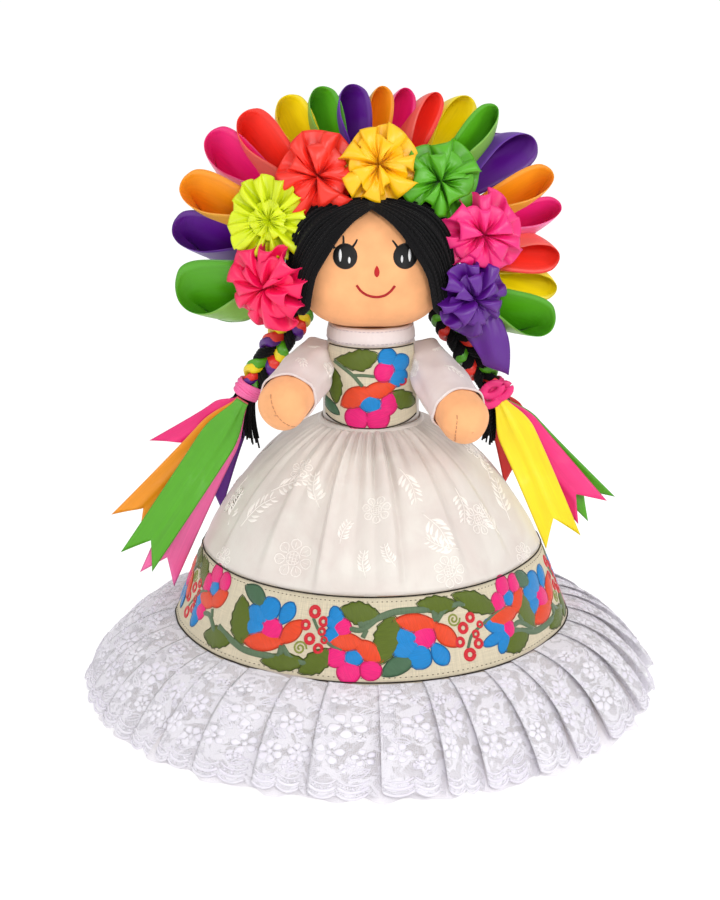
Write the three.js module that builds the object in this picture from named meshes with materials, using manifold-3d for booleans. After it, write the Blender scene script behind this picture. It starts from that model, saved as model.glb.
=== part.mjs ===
// Cloth doll in festival dress: a stuffed body, a brocade dress with an embroidered trim and a lace
// ruffle, yarn braids tied with ribbon, and a crown of ribbon loops and gathered rosettes.
// Millimetres, +Z up. The doll faces -Y, its left hand is on +X, and the origin is on the floor
// under the middle of the skirt.
import * as THREE from 'three';
import { mergeVertices } from 'three/addons/utils/BufferGeometryUtils.js';
import Module from 'manifold-3d';

const wasm = await Module();
wasm.setup();

// Cloth, ribbon and the clearance between sewn pieces
const SEAM_GAP = 0.4;
const CLOTH = 1.2;
const RIBBON_WIDTH = 24;
const RIBBON_THICKNESS = 0.8;

// Stuffed torso, measured up from the floor and then up from the waist
const WAIST_Z = 179;
const HIP_DROP = 21;
const CHEST_HEIGHT = 52;
const NECK_HEIGHT = 9;
const HIP_HALF_WIDTH = 29.5;
const CHEST_HALF_WIDTH = 27.5;
const NECK_HALF_WIDTH = 25;
const TORSO_DEPTH_RATIO = 0.9;

// Stuffed head
const HEAD_HALF_WIDTH = 46;
const HEAD_HALF_DEPTH = 38;
const HEAD_HALF_HEIGHT = 40;
const HEAD_SQUARENESS = 2.8;

// Yarn hair, parted in the middle over a pointed face opening
const HAIR_SIDE = 7;
const HAIR_TOP = 4;
const HAIR_SQUARENESS = 3;
const HAIR_BOTTOM_DROP = 31;
const FACE_HALF_WIDTH = 38;
const FACE_PEAK_RISE = 36;
const FACE_SHOULDER_DROP = 20;
const FACE_BACK_Y = -8;

// Stuffed arms, reaching forward from the sides of the chest
const SHOULDER_DROP = 15;
const SHOULDER_Y = 2;
const ARM_LENGTH = 84;
const ARM_ROOT_RADIUS = 13;
const HAND_RADIUS = 16.5;
const RIGHT_ARM_REACH = new THREE.Vector3(-0.28, -0.94, -0.17);
const LEFT_ARM_REACH = new THREE.Vector3(0.32, -0.89, -0.31);
const SLEEVE_LENGTH = 58;
const CUFF_FLARE = 1;

// Stuffed legs, hidden under the skirt
const HIP_HALF_SPACING = 15.5;
const LEG_RADIUS = 13;
const ANKLE_RADIUS = 10.5;
const FOOT_LENGTH = 22;
const FOOT_HEIGHT = 18;
const SOLE_CLEARANCE = 3;

// Dress
const COLLAR_HEIGHT = 10;
const PANEL_HALF_ANGLE = THREE.MathUtils.degToRad(64);
const PANEL_SIDE_RISE = 8;
const SKIRT_BOTTOM_RADIUS = 108;
const SKIRT_HEIGHT = 81;
const SKIRT_FOLDS = 20;
const SKIRT_FOLD_DEPTH = 2.4;
const TRIM_BOTTOM_RADIUS = 127;
const TRIM_HEIGHT = 48;
const HEM_RADIUS = 187;
const HEM_CLEARANCE = 2.2;
const LACE_PLEATS = 26;
const LACE_PLEAT_DEPTH = 4;

// Crown of ribbon loops on a band that runs over the hair from ear to ear. The loops stand closest together
// over the parting and widest apart by the doll's right ear.
const CROWN_Y = 8;
const BAND_WIDTH = 12;
const BAND_THICKNESS = 1.6;
const BAND_TOP = SEAM_GAP + BAND_THICKNESS;
const LOOP_DEGREES = [-17, -8, 2, 14.5, 25, 37.5, 50.5, 60.5, 70.5, 79.5, 88, 97, 108, 120, 132.5, 145, 158, 172.5, 190];
const LOOP_ANGLES = LOOP_DEGREES.map((degrees) => THREE.MathUtils.degToRad(degrees));
const LOOP_LENGTH_TOP = 60;
const LOOP_LENGTH_SIDE = 70;
const LOOP_LEAN = 0.16;
const LOOP_TIP_LEAN = 0.85;
const LOOP_SPARE = 1.4;
const LOOP_CONE = 0.6;

// Rosettes in front of the loops. The lowest one on each side sits on the front of the hair.
const ROSETTE_FROM = THREE.MathUtils.degToRad(190);
const ROSETTE_TO = THREE.MathUtils.degToRad(-18);
const ROSETTE_RADIUS = 21;
const ROSETTE_OUT = 18;
const ROSETTE_Y = -12;
const ROSETTE_STAGGER = 7;
const ROSETTE_TILT = 0.25;
const SIDE_ROSETTE_OUT = 13;
const SIDE_ROSETTE_Y = -23;
const SIDE_ROSETTE_TILT = 0.6;
const ROSETTE_DEPTH = 10;
const ROSETTE_LOBES = 8;
const DROP_LENGTH = 54;
const DROP_SWING = 16;
const DROP_SEAT = 0.7;
const DROP_HALF_DEPTH = 2.5;

// Braids and the ribbon tails below their ties
const BRAID_INSET = 3;
const BRAID_Y = 12;
const BRAID_LENGTH = 66;
const BRAID_SPLAY = THREE.MathUtils.degToRad(33);
const BRAID_PITCH = 42;
const BRAID_SWAY = 7;
const BRAID_DEPTH = 5;
const STRAND_RADIUS = 2.6;
const BRAID_TOP_RADIUS = 9;
const TIE_HEIGHT = 6;
const TIE_RADIUS = 9.5;
const TUFT_LENGTH = 27;
const TUFT_RADIUS = 4.8;
const TAIL_NOTCH = 11;
const TAIL_LAYER = 1.4;

// Ribbon and thread colours
const COLOURS = {
  skin: 0xf9b078, hair: 0x0b0a0c, white: 0xf3eee6, lace: 0xf4f2f6, linen: 0xd9d0b8, green: 0x6cb52d,
  purple: 0x5b1391, orange: 0xf79a1b, pink: 0xf02d8a, coral: 0xf5483d, yellow: 0xf9e514,
  chartreuse: 0xdcf000, gold: 0xffc814, hotPink: 0xff2a86, rose: 0xf579b4, red: 0xe01f14,
};

// Places that follow from the sizes
const SHOULDER_Z = WAIST_Z + CHEST_HEIGHT;
const NECK_TOP_Z = SHOULDER_Z + NECK_HEIGHT;
const HEAD_Z = NECK_TOP_Z + HEAD_HALF_HEIGHT;
const HAIR_HALF_WIDTH = HEAD_HALF_WIDTH + HAIR_SIDE;
const HAIR_HALF_HEIGHT = HEAD_HALF_HEIGHT + HAIR_TOP;
const HAIR_BOTTOM_Z = HEAD_Z - HAIR_BOTTOM_DROP;
const SKIRT_TOP_Z = WAIST_Z;
const SKIRT_TOP_RADIUS = HIP_HALF_WIDTH + 2 * SEAM_GAP;
const SKIRT_BOTTOM_Z = SKIRT_TOP_Z - SKIRT_HEIGHT;
const TRIM_BOTTOM_Z = SKIRT_BOTTOM_Z - TRIM_HEIGHT;
const FRONT = new THREE.Vector3(0, -1, 0);
const UP = new THREE.Vector3(0, 0, 1);

const doll = new THREE.Group();
const crown = new THREE.Group();
crown.position.z = HEAD_Z;
doll.add(crown);

function addPiece(name, geometry, colour, roughness = 0.8, group = doll) {
  const material = new THREE.MeshStandardMaterial({ color: colour, roughness, metalness: 0 });
  const mesh = new THREE.Mesh(geometry, material);
  mesh.name = name;
  group.add(mesh);
  return mesh;
}

// Crown pieces are built standing over the middle of the head and turned to their angle, which counts
// from +X up over the head, seen from the front.
function addCrownPiece(name, geometry, angle, colour, roughness) {
  addPiece(name, geometry, colour, roughness, crown).rotation.y = Math.PI / 2 - angle;
}

// Closed surfaces

function signedVolume(points, faces) {
  const cross = new THREE.Vector3();
  return faces.reduce((sum, [a, b, c]) => sum + cross.crossVectors(points[b], points[c]).dot(points[a]), 0);
}

function closedGeometry(points, faces) {
  const outward = signedVolume(points, faces) > 0 ? faces : faces.map(([a, b, c]) => [a, c, b]);
  const geometry = new THREE.BufferGeometry().setFromPoints(points);
  geometry.setIndex(outward.flat());
  return geometry;
}

// Skins a row of rings. Ends are closed by a 'pole' in the middle of the ring, by a 'ladder' across a
// flat strip's ring, or the last ring joins the first in a 'loop'.
function loft(rings, ends = 'pole') {
  const count = rings[0].length;
  const points = rings.flat();
  const faces = [];
  const spans = ends === 'loop' ? rings.length : rings.length - 1;
  for (let i = 0; i < spans; i++) {
    const here = i * count;
    const next = ((i + 1) % rings.length) * count;
    for (let j = 0; j < count; j++) {
      const k = (j + 1) % count;
      if (ends === 'ladder' && j >= count / 2) {
        // The far side of a strip is split along the same diagonal as its near side, so a twist keeps its thickness.
        faces.push([here + j, here + k, next + j], [here + k, next + k, next + j]);
      } else {
        faces.push([here + j, here + k, next + k], [here + j, next + k, next + j]);
      }
    }
  }
  const lastRing = (rings.length - 1) * count;
  if (ends === 'pole') {
    const centre = (ring) => ring.reduce((sum, p) => sum.add(p), new THREE.Vector3()).divideScalar(count);
    const first = points.push(centre(rings[0])) - 1;
    const last = points.push(centre(rings.at(-1))) - 1;
    for (let j = 0; j < count; j++) {
      const k = (j + 1) % count;
      faces.push([first, k, j], [last, lastRing + j, lastRing + k]);
    }
  }
  if (ends === 'ladder') {
    for (let j = 0; j < count / 2 - 1; j++) {
      const k = count - 1 - j;
      faces.push([j, k, j + 1], [j + 1, k, k - 1]);
      faces.push([lastRing + j, lastRing + j + 1, lastRing + k], [lastRing + j + 1, lastRing + k - 1, lastRing + k]);
    }
  }
  return closedGeometry(points, faces);
}

function toSolid(geometry) {
  const bare = geometry.clone();
  bare.deleteAttribute('normal');
  bare.deleteAttribute('uv');
  const merged = mergeVertices(bare, 1e-4);
  return new wasm.Manifold(new wasm.Mesh({
    numProp: 3,
    vertProperties: new Float32Array(merged.attributes.position.array),
    triVerts: new Uint32Array(merged.index.array),
  }));
}

function toGeometry(solid) {
  const { vertProperties, triVerts } = solid.getMesh();
  const geometry = new THREE.BufferGeometry();
  geometry.setAttribute('position', new THREE.BufferAttribute(vertProperties, 3));
  geometry.setIndex(new THREE.BufferAttribute(triVerts, 1));
  return geometry;
}

function cut(geometry, ...tools) {
  return toGeometry(tools.reduce((left, tool) => left.subtract(toSolid(tool)), toSolid(geometry)));
}

// A large box whose one face lies at a point and looks along a direction; it cuts away everything beyond.
function beyond(point, direction, size = 2 * HEM_RADIUS) {
  const box = new THREE.BoxGeometry(size, size, size).translate(0, 0, size / 2);
  box.applyQuaternion(new THREE.Quaternion().setFromUnitVectors(UP, direction));
  return box.translate(point.x, point.y, point.z);
}

// Rings and profiles

function levelRing(z, halfX, halfY, sides, centreX = 0, centreY = 0) {
  return Array.from({ length: sides }, (_, j) => {
    const angle = (2 * Math.PI * j) / sides;
    return new THREE.Vector3(centreX + halfX * Math.cos(angle), centreY + halfY * Math.sin(angle), z);
  });
}

// Rings of a squarish ball between two heights, each given as a share of its half height.
function ballRings({ halfX, halfY, halfZ, z, y = 0, squareness, low = -1, high = 1 }, sides, rows) {
  const from = Math.asin(low);
  const to = Math.asin(high);
  return Array.from({ length: rows + 1 }, (_, i) => {
    const share = Math.sin(from + ((to - from) * i) / rows);
    const spread = (1 - Math.abs(share) ** squareness) ** (1 / squareness);
    return levelRing(z + halfZ * share, Math.max(halfX * spread, 0.6), Math.max(halfY * spread, 0.6), sides, 0, y);
  });
}

// A round tube with its own radius at each point of a line.
function tubeRings(points, radii, sides, sideways) {
  return points.map((point, i) => {
    const ahead = points[Math.min(i + 1, points.length - 1)].clone().sub(points[Math.max(i - 1, 0)]).normalize();
    const across = sideways.clone().addScaledVector(ahead, -sideways.dot(ahead)).normalize();
    const third = new THREE.Vector3().crossVectors(ahead, across);
    return Array.from({ length: sides }, (_, j) => {
      const angle = (2 * Math.PI * j) / sides;
      return point.clone()
        .addScaledVector(across, radii[i] * Math.cos(angle))
        .addScaledVector(third, radii[i] * Math.sin(angle));
    });
  });
}

// A point that lies out from a profile's point along the profile's normal, turned about Z.
function onBell(curve, share, out, angle) {
  const point = curve.getPoint(share);
  const tangent = curve.getTangent(share);
  const radius = point.x - tangent.y * out;
  return new THREE.Vector3(radius * Math.cos(angle), radius * Math.sin(angle), point.y + tangent.x * out);
}

// A cloth ring of one thickness that follows a bell profile; inward(angleShare, share) draws folds in.
function bellShell(curve, shares, sides, thickness, inward = () => 0) {
  const rows = [...shares.map((share) => [share, 0]), ...shares.toReversed().map((share) => [share, thickness])];
  const rings = rows.map(([share, deep]) => Array.from({ length: sides }, (_, j) => {
    const angle = (2 * Math.PI * j) / sides;
    return onBell(curve, share, -deep - inward(j / sides, share), angle);
  }));
  return loft(rings, 'loop');
}

const steps = (count, from = 0, to = 1) => Array.from({ length: count + 1 }, (_, i) => from + ((to - from) * i) / count);

// Torso

// Half widths and half depths of the torso up its height. It is round at the waist and flatter above.
const TORSO_SECTIONS = [
  [WAIST_Z - HIP_DROP, HIP_HALF_WIDTH * 0.6, 1],
  [WAIST_Z - HIP_DROP * 0.8, HIP_HALF_WIDTH * 0.88, 1],
  [WAIST_Z - HIP_DROP * 0.4, HIP_HALF_WIDTH, 1],
  [WAIST_Z, HIP_HALF_WIDTH, 1],
  [WAIST_Z + CHEST_HEIGHT * 0.3, (HIP_HALF_WIDTH + CHEST_HALF_WIDTH) / 2, TORSO_DEPTH_RATIO],
  [WAIST_Z + CHEST_HEIGHT * 0.6, CHEST_HALF_WIDTH, TORSO_DEPTH_RATIO],
  [WAIST_Z + CHEST_HEIGHT * 0.85, CHEST_HALF_WIDTH * 0.98, TORSO_DEPTH_RATIO],
  [SHOULDER_Z, CHEST_HALF_WIDTH * 0.95, TORSO_DEPTH_RATIO],
  [SHOULDER_Z + NECK_HEIGHT * 0.2, NECK_HALF_WIDTH, TORSO_DEPTH_RATIO],
  [NECK_TOP_Z + NECK_HEIGHT * 0.2, NECK_HALF_WIDTH * 0.95, TORSO_DEPTH_RATIO],
].map(([z, halfX, ratio]) => [z, halfX, halfX * ratio]);

function torsoSize(z) {
  const above = Math.max(TORSO_SECTIONS.findIndex(([height]) => height >= z), 1);
  const [[z0, x0, y0], [z1, x1, y1]] = [TORSO_SECTIONS[above - 1], TORSO_SECTIONS[above]];
  return [THREE.MathUtils.mapLinear(z, z0, z1, x0, x1), THREE.MathUtils.mapLinear(z, z0, z1, y0, y1)];
}

// The torso's outline at a height, pushed out by a distance.
function torsoPoint(z, out, angle) {
  const [halfX, halfY] = torsoSize(z);
  return new THREE.Vector3((halfX + out) * Math.cos(angle), (halfY + out) * Math.sin(angle), z);
}

const HEAD_FORM = {
  halfX: HEAD_HALF_WIDTH, halfY: HEAD_HALF_DEPTH, halfZ: HEAD_HALF_HEIGHT, z: HEAD_Z, squareness: HEAD_SQUARENESS,
};
const headGeometry = loft(ballRings(HEAD_FORM, 24, 12));

function headGrown(gap) {
  const { halfX, halfY, halfZ } = HEAD_FORM;
  const grown = { ...HEAD_FORM, halfX: halfX + gap, halfY: halfY + gap, halfZ: halfZ + gap };
  return loft(ballRings(grown, 24, 12));
}

function makeBody() {
  const rings = TORSO_SECTIONS.map(([z, halfX, halfY]) => levelRing(z, halfX, halfY, 24));
  addPiece('torso', cut(loft(rings), headGrown(SEAM_GAP)), COLOURS.skin);
  addPiece('head', headGeometry, COLOURS.skin);
}

// Legs: a round hip, a slim ankle and a foot that points forward
function makeLeg(name, side) {
  const hipZ = WAIST_Z - HIP_DROP - SEAM_GAP - LEG_RADIUS;
  const ankleZ = SOLE_CLEARANCE + FOOT_HEIGHT;
  const x = side * HIP_HALF_SPACING;
  const kneeZ = (hipZ + ankleZ) / 2;
  const dome = [75, 45, 20].map((degrees) => {
    const rise = THREE.MathUtils.degToRad(degrees);
    const radius = LEG_RADIUS * Math.cos(rise);
    return levelRing(hipZ + LEG_RADIUS * Math.sin(rise), radius, radius, 14, x);
  });
  const rings = [
    ...dome,
    levelRing(hipZ, LEG_RADIUS, LEG_RADIUS, 14, x),
    levelRing((hipZ + kneeZ) / 2, LEG_RADIUS, LEG_RADIUS, 14, x),
    levelRing(kneeZ, (LEG_RADIUS + ANKLE_RADIUS) / 2, (LEG_RADIUS + ANKLE_RADIUS) / 2, 14, x),
    levelRing(ankleZ, ANKLE_RADIUS, ANKLE_RADIUS, 14, x),
    levelRing(SOLE_CLEARANCE + FOOT_HEIGHT * 0.45, ANKLE_RADIUS, FOOT_LENGTH * 0.8, 14, x, -FOOT_LENGTH * 0.3),
    levelRing(SOLE_CLEARANCE, ANKLE_RADIUS * 0.85, FOOT_LENGTH * 0.72, 14, x, -FOOT_LENGTH * 0.3),
  ];
  addPiece(name, loft(rings), COLOURS.skin);
}

// Arms and sleeves: straight stuffed limbs cut flat where they meet the side of the chest
function armLine(side) {
  const reach = (side < 0 ? RIGHT_ARM_REACH : LEFT_ARM_REACH).clone().normalize();
  const blouseSide = torsoSize(SHOULDER_Z - SHOULDER_DROP - ARM_ROOT_RADIUS)[0] + SEAM_GAP + CLOTH;
  const seamX = side * (blouseSide + SEAM_GAP);
  const root = new THREE.Vector3(seamX + side * ARM_ROOT_RADIUS * 0.3, SHOULDER_Y, SHOULDER_Z - SHOULDER_DROP);
  return { reach, root, seamX };
}

// Radius along the arm: swelling from a round shoulder to a full mitten hand.
function armRadius(along) {
  const swell = THREE.MathUtils.smoothstep(along, 0, ARM_LENGTH - HAND_RADIUS);
  return THREE.MathUtils.lerp(ARM_ROOT_RADIUS, HAND_RADIUS, swell);
}

function limbRings({ root, reach }, from, to, extra, tipDome) {
  const rootRadius = armRadius(0) + extra;
  const back = [-0.9, -0.6].map((share) => [share * rootRadius, rootRadius * Math.sqrt(1 - share * share)]);
  const straight = steps(4, from, tipDome ? to - HAND_RADIUS : to).map((along) => [along, armRadius(along) + extra]);
  const tip = tipDome ? [0.5, 0.8, 0.97].map((share) => [
    to - HAND_RADIUS + share * HAND_RADIUS, (HAND_RADIUS + extra) * Math.sqrt(1 - share * share)]) : [];
  const sections = [...back, ...straight, ...tip];
  const points = sections.map(([along]) => root.clone().addScaledVector(reach, along));
  return tubeRings(points, sections.map(([, radius]) => radius), 14, UP);
}

function makeArm(name, sleeveName, side) {
  const line = armLine(side);
  const insideX = new THREE.Vector3(line.seamX, 0, SHOULDER_Z);
  const chestSide = beyond(insideX, new THREE.Vector3(-side, 0, 0));
  addPiece(name, cut(loft(limbRings(line, 0, ARM_LENGTH, 0, true)), chestSide), COLOURS.skin);

  const outer = limbRings(line, 0, SLEEVE_LENGTH, SEAM_GAP + CLOTH, false);
  const cuffCentre = line.root.clone().addScaledVector(line.reach, SLEEVE_LENGTH);
  outer.at(-1).forEach((p) => p.lerp(cuffCentre, -CUFF_FLARE / armRadius(SLEEVE_LENGTH)));
  const hollow = limbRings(line, 0, ARM_LENGTH, SEAM_GAP, true);
  addPiece(sleeveName, cut(loft(outer), loft(hollow), chestSide), COLOURS.white, 0.6);
}

// Upper dress: neckband, blouse and the embroidered front panel
function makeUpperDress() {
  const collarBottom = SHOULDER_Z + SEAM_GAP;
  const collarTop = collarBottom + COLLAR_HEIGHT;
  const collarHeights = [collarBottom, collarBottom + NECK_HEIGHT * 0.2, collarTop];
  const collarRing = (z, out) => Array.from({ length: 24 }, (_, j) => torsoPoint(z, out, (2 * Math.PI * j) / 24));
  const collarRows = [
    ...collarHeights.map((z) => collarRing(z, SEAM_GAP + CLOTH)),
    ...collarHeights.toReversed().map((z) => collarRing(z, SEAM_GAP)),
  ];
  addPiece('collar', cut(loft(collarRows, 'loop'), headGrown(SEAM_GAP)), COLOURS.white, 0.6);

  const blouseHeights = [SKIRT_TOP_Z + CLOTH + SEAM_GAP, ...[0.3, 0.6, 0.85, 1].map((s) => WAIST_Z + CHEST_HEIGHT * s)];
  const blouseRing = (z, out) => Array.from({ length: 24 }, (_, j) => torsoPoint(z, out, (2 * Math.PI * j) / 24));
  const blouseRows = [
    ...blouseHeights.map((z) => blouseRing(z, SEAM_GAP + CLOTH)),
    ...blouseHeights.toReversed().map((z) => blouseRing(z, SEAM_GAP)),
  ];
  addPiece('blouse', loft(blouseRows, 'loop'), COLOURS.white, 0.6);

  const panelOut = 3 * SEAM_GAP + CLOTH;
  const panelTop = SHOULDER_Z - SEAM_GAP;
  const columns = steps(10, -1, 1).map((share) => {
    const angle = -Math.PI / 2 + share * PANEL_HALF_ANGLE;
    const bottom = blouseHeights[0] + PANEL_SIDE_RISE * share * share;
    const heights = steps(4, bottom, panelTop);
    return [
      ...heights.map((z) => torsoPoint(z, panelOut + CLOTH, angle)),
      ...heights.toReversed().map((z) => torsoPoint(z, panelOut, angle)),
    ];
  });
  addPiece('bodice_panel', loft(columns, 'ladder'), COLOURS.linen);
}

// Skirt: brocade bell, embroidered trim, pleated lace ruffle and the sheer lining under the lace
function makeSkirt() {
  const skirtCurve = new THREE.QuadraticBezierCurve(
    new THREE.Vector2(SKIRT_TOP_RADIUS, SKIRT_TOP_Z),
    new THREE.Vector2(
      THREE.MathUtils.lerp(SKIRT_TOP_RADIUS, SKIRT_BOTTOM_RADIUS, 0.62), SKIRT_TOP_Z - SKIRT_HEIGHT * 0.16),
    new THREE.Vector2(SKIRT_BOTTOM_RADIUS, SKIRT_BOTTOM_Z));
  const trimCurve = new THREE.LineCurve(
    new THREE.Vector2(SKIRT_BOTTOM_RADIUS, SKIRT_BOTTOM_Z), new THREE.Vector2(TRIM_BOTTOM_RADIUS, TRIM_BOTTOM_Z));
  const laceCurve = new THREE.QuadraticBezierCurve(
    new THREE.Vector2(TRIM_BOTTOM_RADIUS, TRIM_BOTTOM_Z),
    new THREE.Vector2(THREE.MathUtils.lerp(TRIM_BOTTOM_RADIUS, HEM_RADIUS, 0.66), TRIM_BOTTOM_Z * 0.88),
    new THREE.Vector2(HEM_RADIUS, HEM_CLEARANCE));

  // Gathers are deepest near the waistband and die out at the trim.
  const gather = (turn, share) => {
    const depth = SKIRT_FOLD_DEPTH * Math.min(share * 6, 1) * (1 - share) ** 0.7;
    return (depth * (1 - Math.cos(2 * Math.PI * SKIRT_FOLDS * turn))) / 2;
  };
  const trimShare = (length) => length / trimCurve.getLength();
  const skirtShares = [0, 0.15, 0.4, 0.7, 1 - SEAM_GAP / skirtCurve.getLength()];
  addPiece('skirt', bellShell(skirtCurve, skirtShares, SKIRT_FOLDS * 4, CLOTH, gather), COLOURS.white, 0.5);
  addPiece('trim_band', bellShell(trimCurve, [0, 0.5, 1 - trimShare(SEAM_GAP)], 48, CLOTH), COLOURS.linen);

  // Knife pleats: a slow ramp in and a quick step back out.
  const pleat = (turn, share) => {
    const ramp = (turn * LACE_PLEATS) % 1;
    const depth = ramp < 0.7 ? ramp / 0.7 : (1 - ramp) / 0.3;
    return LACE_PLEAT_DEPTH * depth * Math.min(share * 5, 1);
  };
  addPiece('lace_ruffle', bellShell(laceCurve, [0, 0.25, 0.5, 0.75, 1], LACE_PLEATS * 4, CLOTH, pleat), COLOURS.lace);

  // The sheer lining hangs from the inside of the trim, under the lace, down to the floor.
  const inset = LACE_PLEAT_DEPTH + CLOTH + SEAM_GAP;
  const inner = (curve, share, out) => {
    const p = onBell(curve, share, -out, 0);
    return new THREE.Vector2(p.x, p.z);
  };
  const outside = [
    inner(trimCurve, 0.8, CLOTH + SEAM_GAP),
    new THREE.Vector2(TRIM_BOTTOM_RADIUS - inset * 0.7, TRIM_BOTTOM_Z - inset),
    inner(laceCurve, 0.3, inset), inner(laceCurve, 0.6, inset), inner(laceCurve, 0.85, inset),
    new THREE.Vector2(HEM_RADIUS - inset, 0),
  ];
  const inside = outside.map((p) => new THREE.Vector2(p.x - CLOTH * 1.2, Math.max(p.y - CLOTH, 0))).reverse();
  inside[0].y = 0;
  const profile = [...outside, ...inside, outside[0]].reverse();
  addPiece('lining', new THREE.LatheGeometry(profile, 40).rotateX(Math.PI / 2), COLOURS.white);
}

// Hair: a cap over the head, open in front below a pointed parting
const hairForm = {
  halfX: HAIR_HALF_WIDTH, halfY: HEAD_HALF_DEPTH + HAIR_SIDE, halfZ: HAIR_HALF_HEIGHT, z: HEAD_Z, y: 1,
  squareness: HAIR_SQUARENESS, low: -HAIR_BOTTOM_DROP / HAIR_HALF_HEIGHT,
};

function faceOpening() {
  const depth = 2 * HEAD_HALF_DEPTH;
  const peak = FACE_PEAK_RISE;
  const shoulder = -FACE_SHOULDER_DROP;
  const outline = new THREE.Shape();
  outline.moveTo(0, peak);
  outline.quadraticCurveTo(FACE_HALF_WIDTH * 0.75, peak * 0.6, FACE_HALF_WIDTH, shoulder);
  outline.lineTo(FACE_HALF_WIDTH, -2 * HEAD_HALF_HEIGHT);
  outline.lineTo(-FACE_HALF_WIDTH, -2 * HEAD_HALF_HEIGHT);
  outline.lineTo(-FACE_HALF_WIDTH, shoulder);
  outline.quadraticCurveTo(-FACE_HALF_WIDTH * 0.75, peak * 0.6, 0, peak);
  const prism = new THREE.ExtrudeGeometry(outline, { depth, bevelEnabled: false, curveSegments: 5 });
  return prism.rotateX(Math.PI / 2).translate(0, FACE_BACK_Y, HEAD_Z);
}

function makeHair() {
  const cap = loft(ballRings(hairForm, 24, 9));
  addPiece('hair', cut(cap, headGrown(SEAM_GAP), faceOpening()), COLOURS.hair, 0.9);
}

// How far the hair's outline lies from the middle of the head, along an angle.
function hairReach(angle) {
  const n = HAIR_SQUARENESS;
  const across = Math.abs(Math.cos(angle) / HAIR_HALF_WIDTH) ** n;
  const upward = Math.abs(Math.sin(angle) / HAIR_HALF_HEIGHT) ** n;
  return (across + upward) ** (-1 / n);
}

function makeCrownBand() {
  const front = CROWN_Y - BAND_WIDTH / 2;
  const back = CROWN_Y + BAND_WIDTH / 2;
  const angles = LOOP_ANGLES.flatMap((angle, i) => (i ? [(LOOP_ANGLES[i - 1] + angle) / 2, angle] : [angle]));
  const rings = angles.map((angle) => {
    const corners = [[SEAM_GAP, front], [SEAM_GAP, back], [BAND_TOP, back], [BAND_TOP, front]];
    return corners.map(([out, y]) => {
      const reach = hairReach(angle) + out;
      return new THREE.Vector3(reach * Math.cos(angle), y, reach * Math.sin(angle));
    });
  });
  addPiece('crown_band', loft(rings, 'ladder'), COLOURS.gold, 0.5, crown);
}

// One ribbon loop: the ribbon leaves the band, swells out, turns over at the tip and comes back. Its
// front edge leans out at the tip and stands wider than its back edge, so that the loop opens to the front
// like a spoon.
function ribbonLoop(bandReach, length, halfSpacing) {
  const foot = bandReach + SEAM_GAP + RIBBON_THICKNESS / 2;
  const rise = length - (RIBBON_WIDTH / 2) * Math.sin(LOOP_TIP_LEAN);
  const widest = foot + rise * 0.6 - (RIBBON_WIDTH / 2) * Math.sin(LOOP_TIP_LEAN * 0.5);
  const swell = (widest * Math.tan(halfSpacing) - LOOP_SPARE) / 0.8 / (1 + LOOP_CONE);
  const legGap = RIBBON_THICKNESS + SEAM_GAP;
  const centre = (turn) => new THREE.Vector3(
    legGap * Math.cos(turn / 2) + swell * Math.sin(turn) * Math.sin(turn / 2),
    0,
    (rise * (1 - Math.cos(turn))) / 2);
  const rings = steps(18, 0, 2 * Math.PI).map((turn) => {
    const point = centre(turn);
    const along = centre(Math.min(turn + 0.01, 2 * Math.PI)).sub(centre(Math.max(turn - 0.01, 0))).normalize();
    const open = THREE.MathUtils.smoothstep(Math.sin(turn / 2), 0.15, 0.75);
    const half = THREE.MathUtils.lerp(BAND_WIDTH * 0.45, RIBBON_WIDTH / 2, open);
    const lean = LOOP_TIP_LEAN * Math.sin(turn / 2) ** 4;
    const wider = (LOOP_CONE * point.x) / half;
    const edge = new THREE.Vector3(0, -Math.cos(lean), Math.sin(lean)).multiplyScalar(Math.sqrt(1 - wider * wider));
    edge.x = wider;
    const skin = new THREE.Vector3().crossVectors(edge, along).normalize();
    point.y += CROWN_Y + LOOP_LEAN * point.z;
    point.z += foot;
    return [[-1, -1], [1, -1], [1, 1], [-1, 1]].map(([w, t]) => point.clone()
      .addScaledVector(edge, w * half).addScaledVector(skin, (t * RIBBON_THICKNESS) / 2));
  });
  return loft(rings, 'ladder');
}

const LOOP_COLOURS = ['green', 'yellow', 'coral', 'pink', 'orange', 'purple'];

function makeLoops() {
  LOOP_ANGLES.forEach((angle, i) => {
    const colour = LOOP_COLOURS[i % LOOP_COLOURS.length];
    const length = THREE.MathUtils.lerp(LOOP_LENGTH_TOP, LOOP_LENGTH_SIDE, Math.abs(Math.cos(angle)));
    const before = i > 0 ? angle - LOOP_ANGLES[i - 1] : Infinity;
    const after = i < LOOP_ANGLES.length - 1 ? LOOP_ANGLES[i + 1] - angle : Infinity;
    const halfSpacing = Math.min(before, after) / 2;
    const loop = ribbonLoop(hairReach(angle) + BAND_TOP, length, halfSpacing);
    addCrownPiece(`loop_${String(i + 1).padStart(2, '0')}_${colour}`, loop, angle, COLOURS[colour], 0.5);
  });
}

// A gathered ribbon rosette with a ruffled face, on a short stem that is sewn to the front of the band.
function rosetteStem(reach, { out, y }) {
  const stemRadius = ROSETTE_RADIUS * 0.12;
  const bandFront = CROWN_Y - BAND_WIDTH / 2;
  const middle = new THREE.Vector3(0, y, reach + out);
  const stemEnd = new THREE.Vector3(0, bandFront - SEAM_GAP, reach + BAND_TOP + stemRadius * 0.6);
  return { stemRadius, middle, stemEnd };
}

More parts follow.
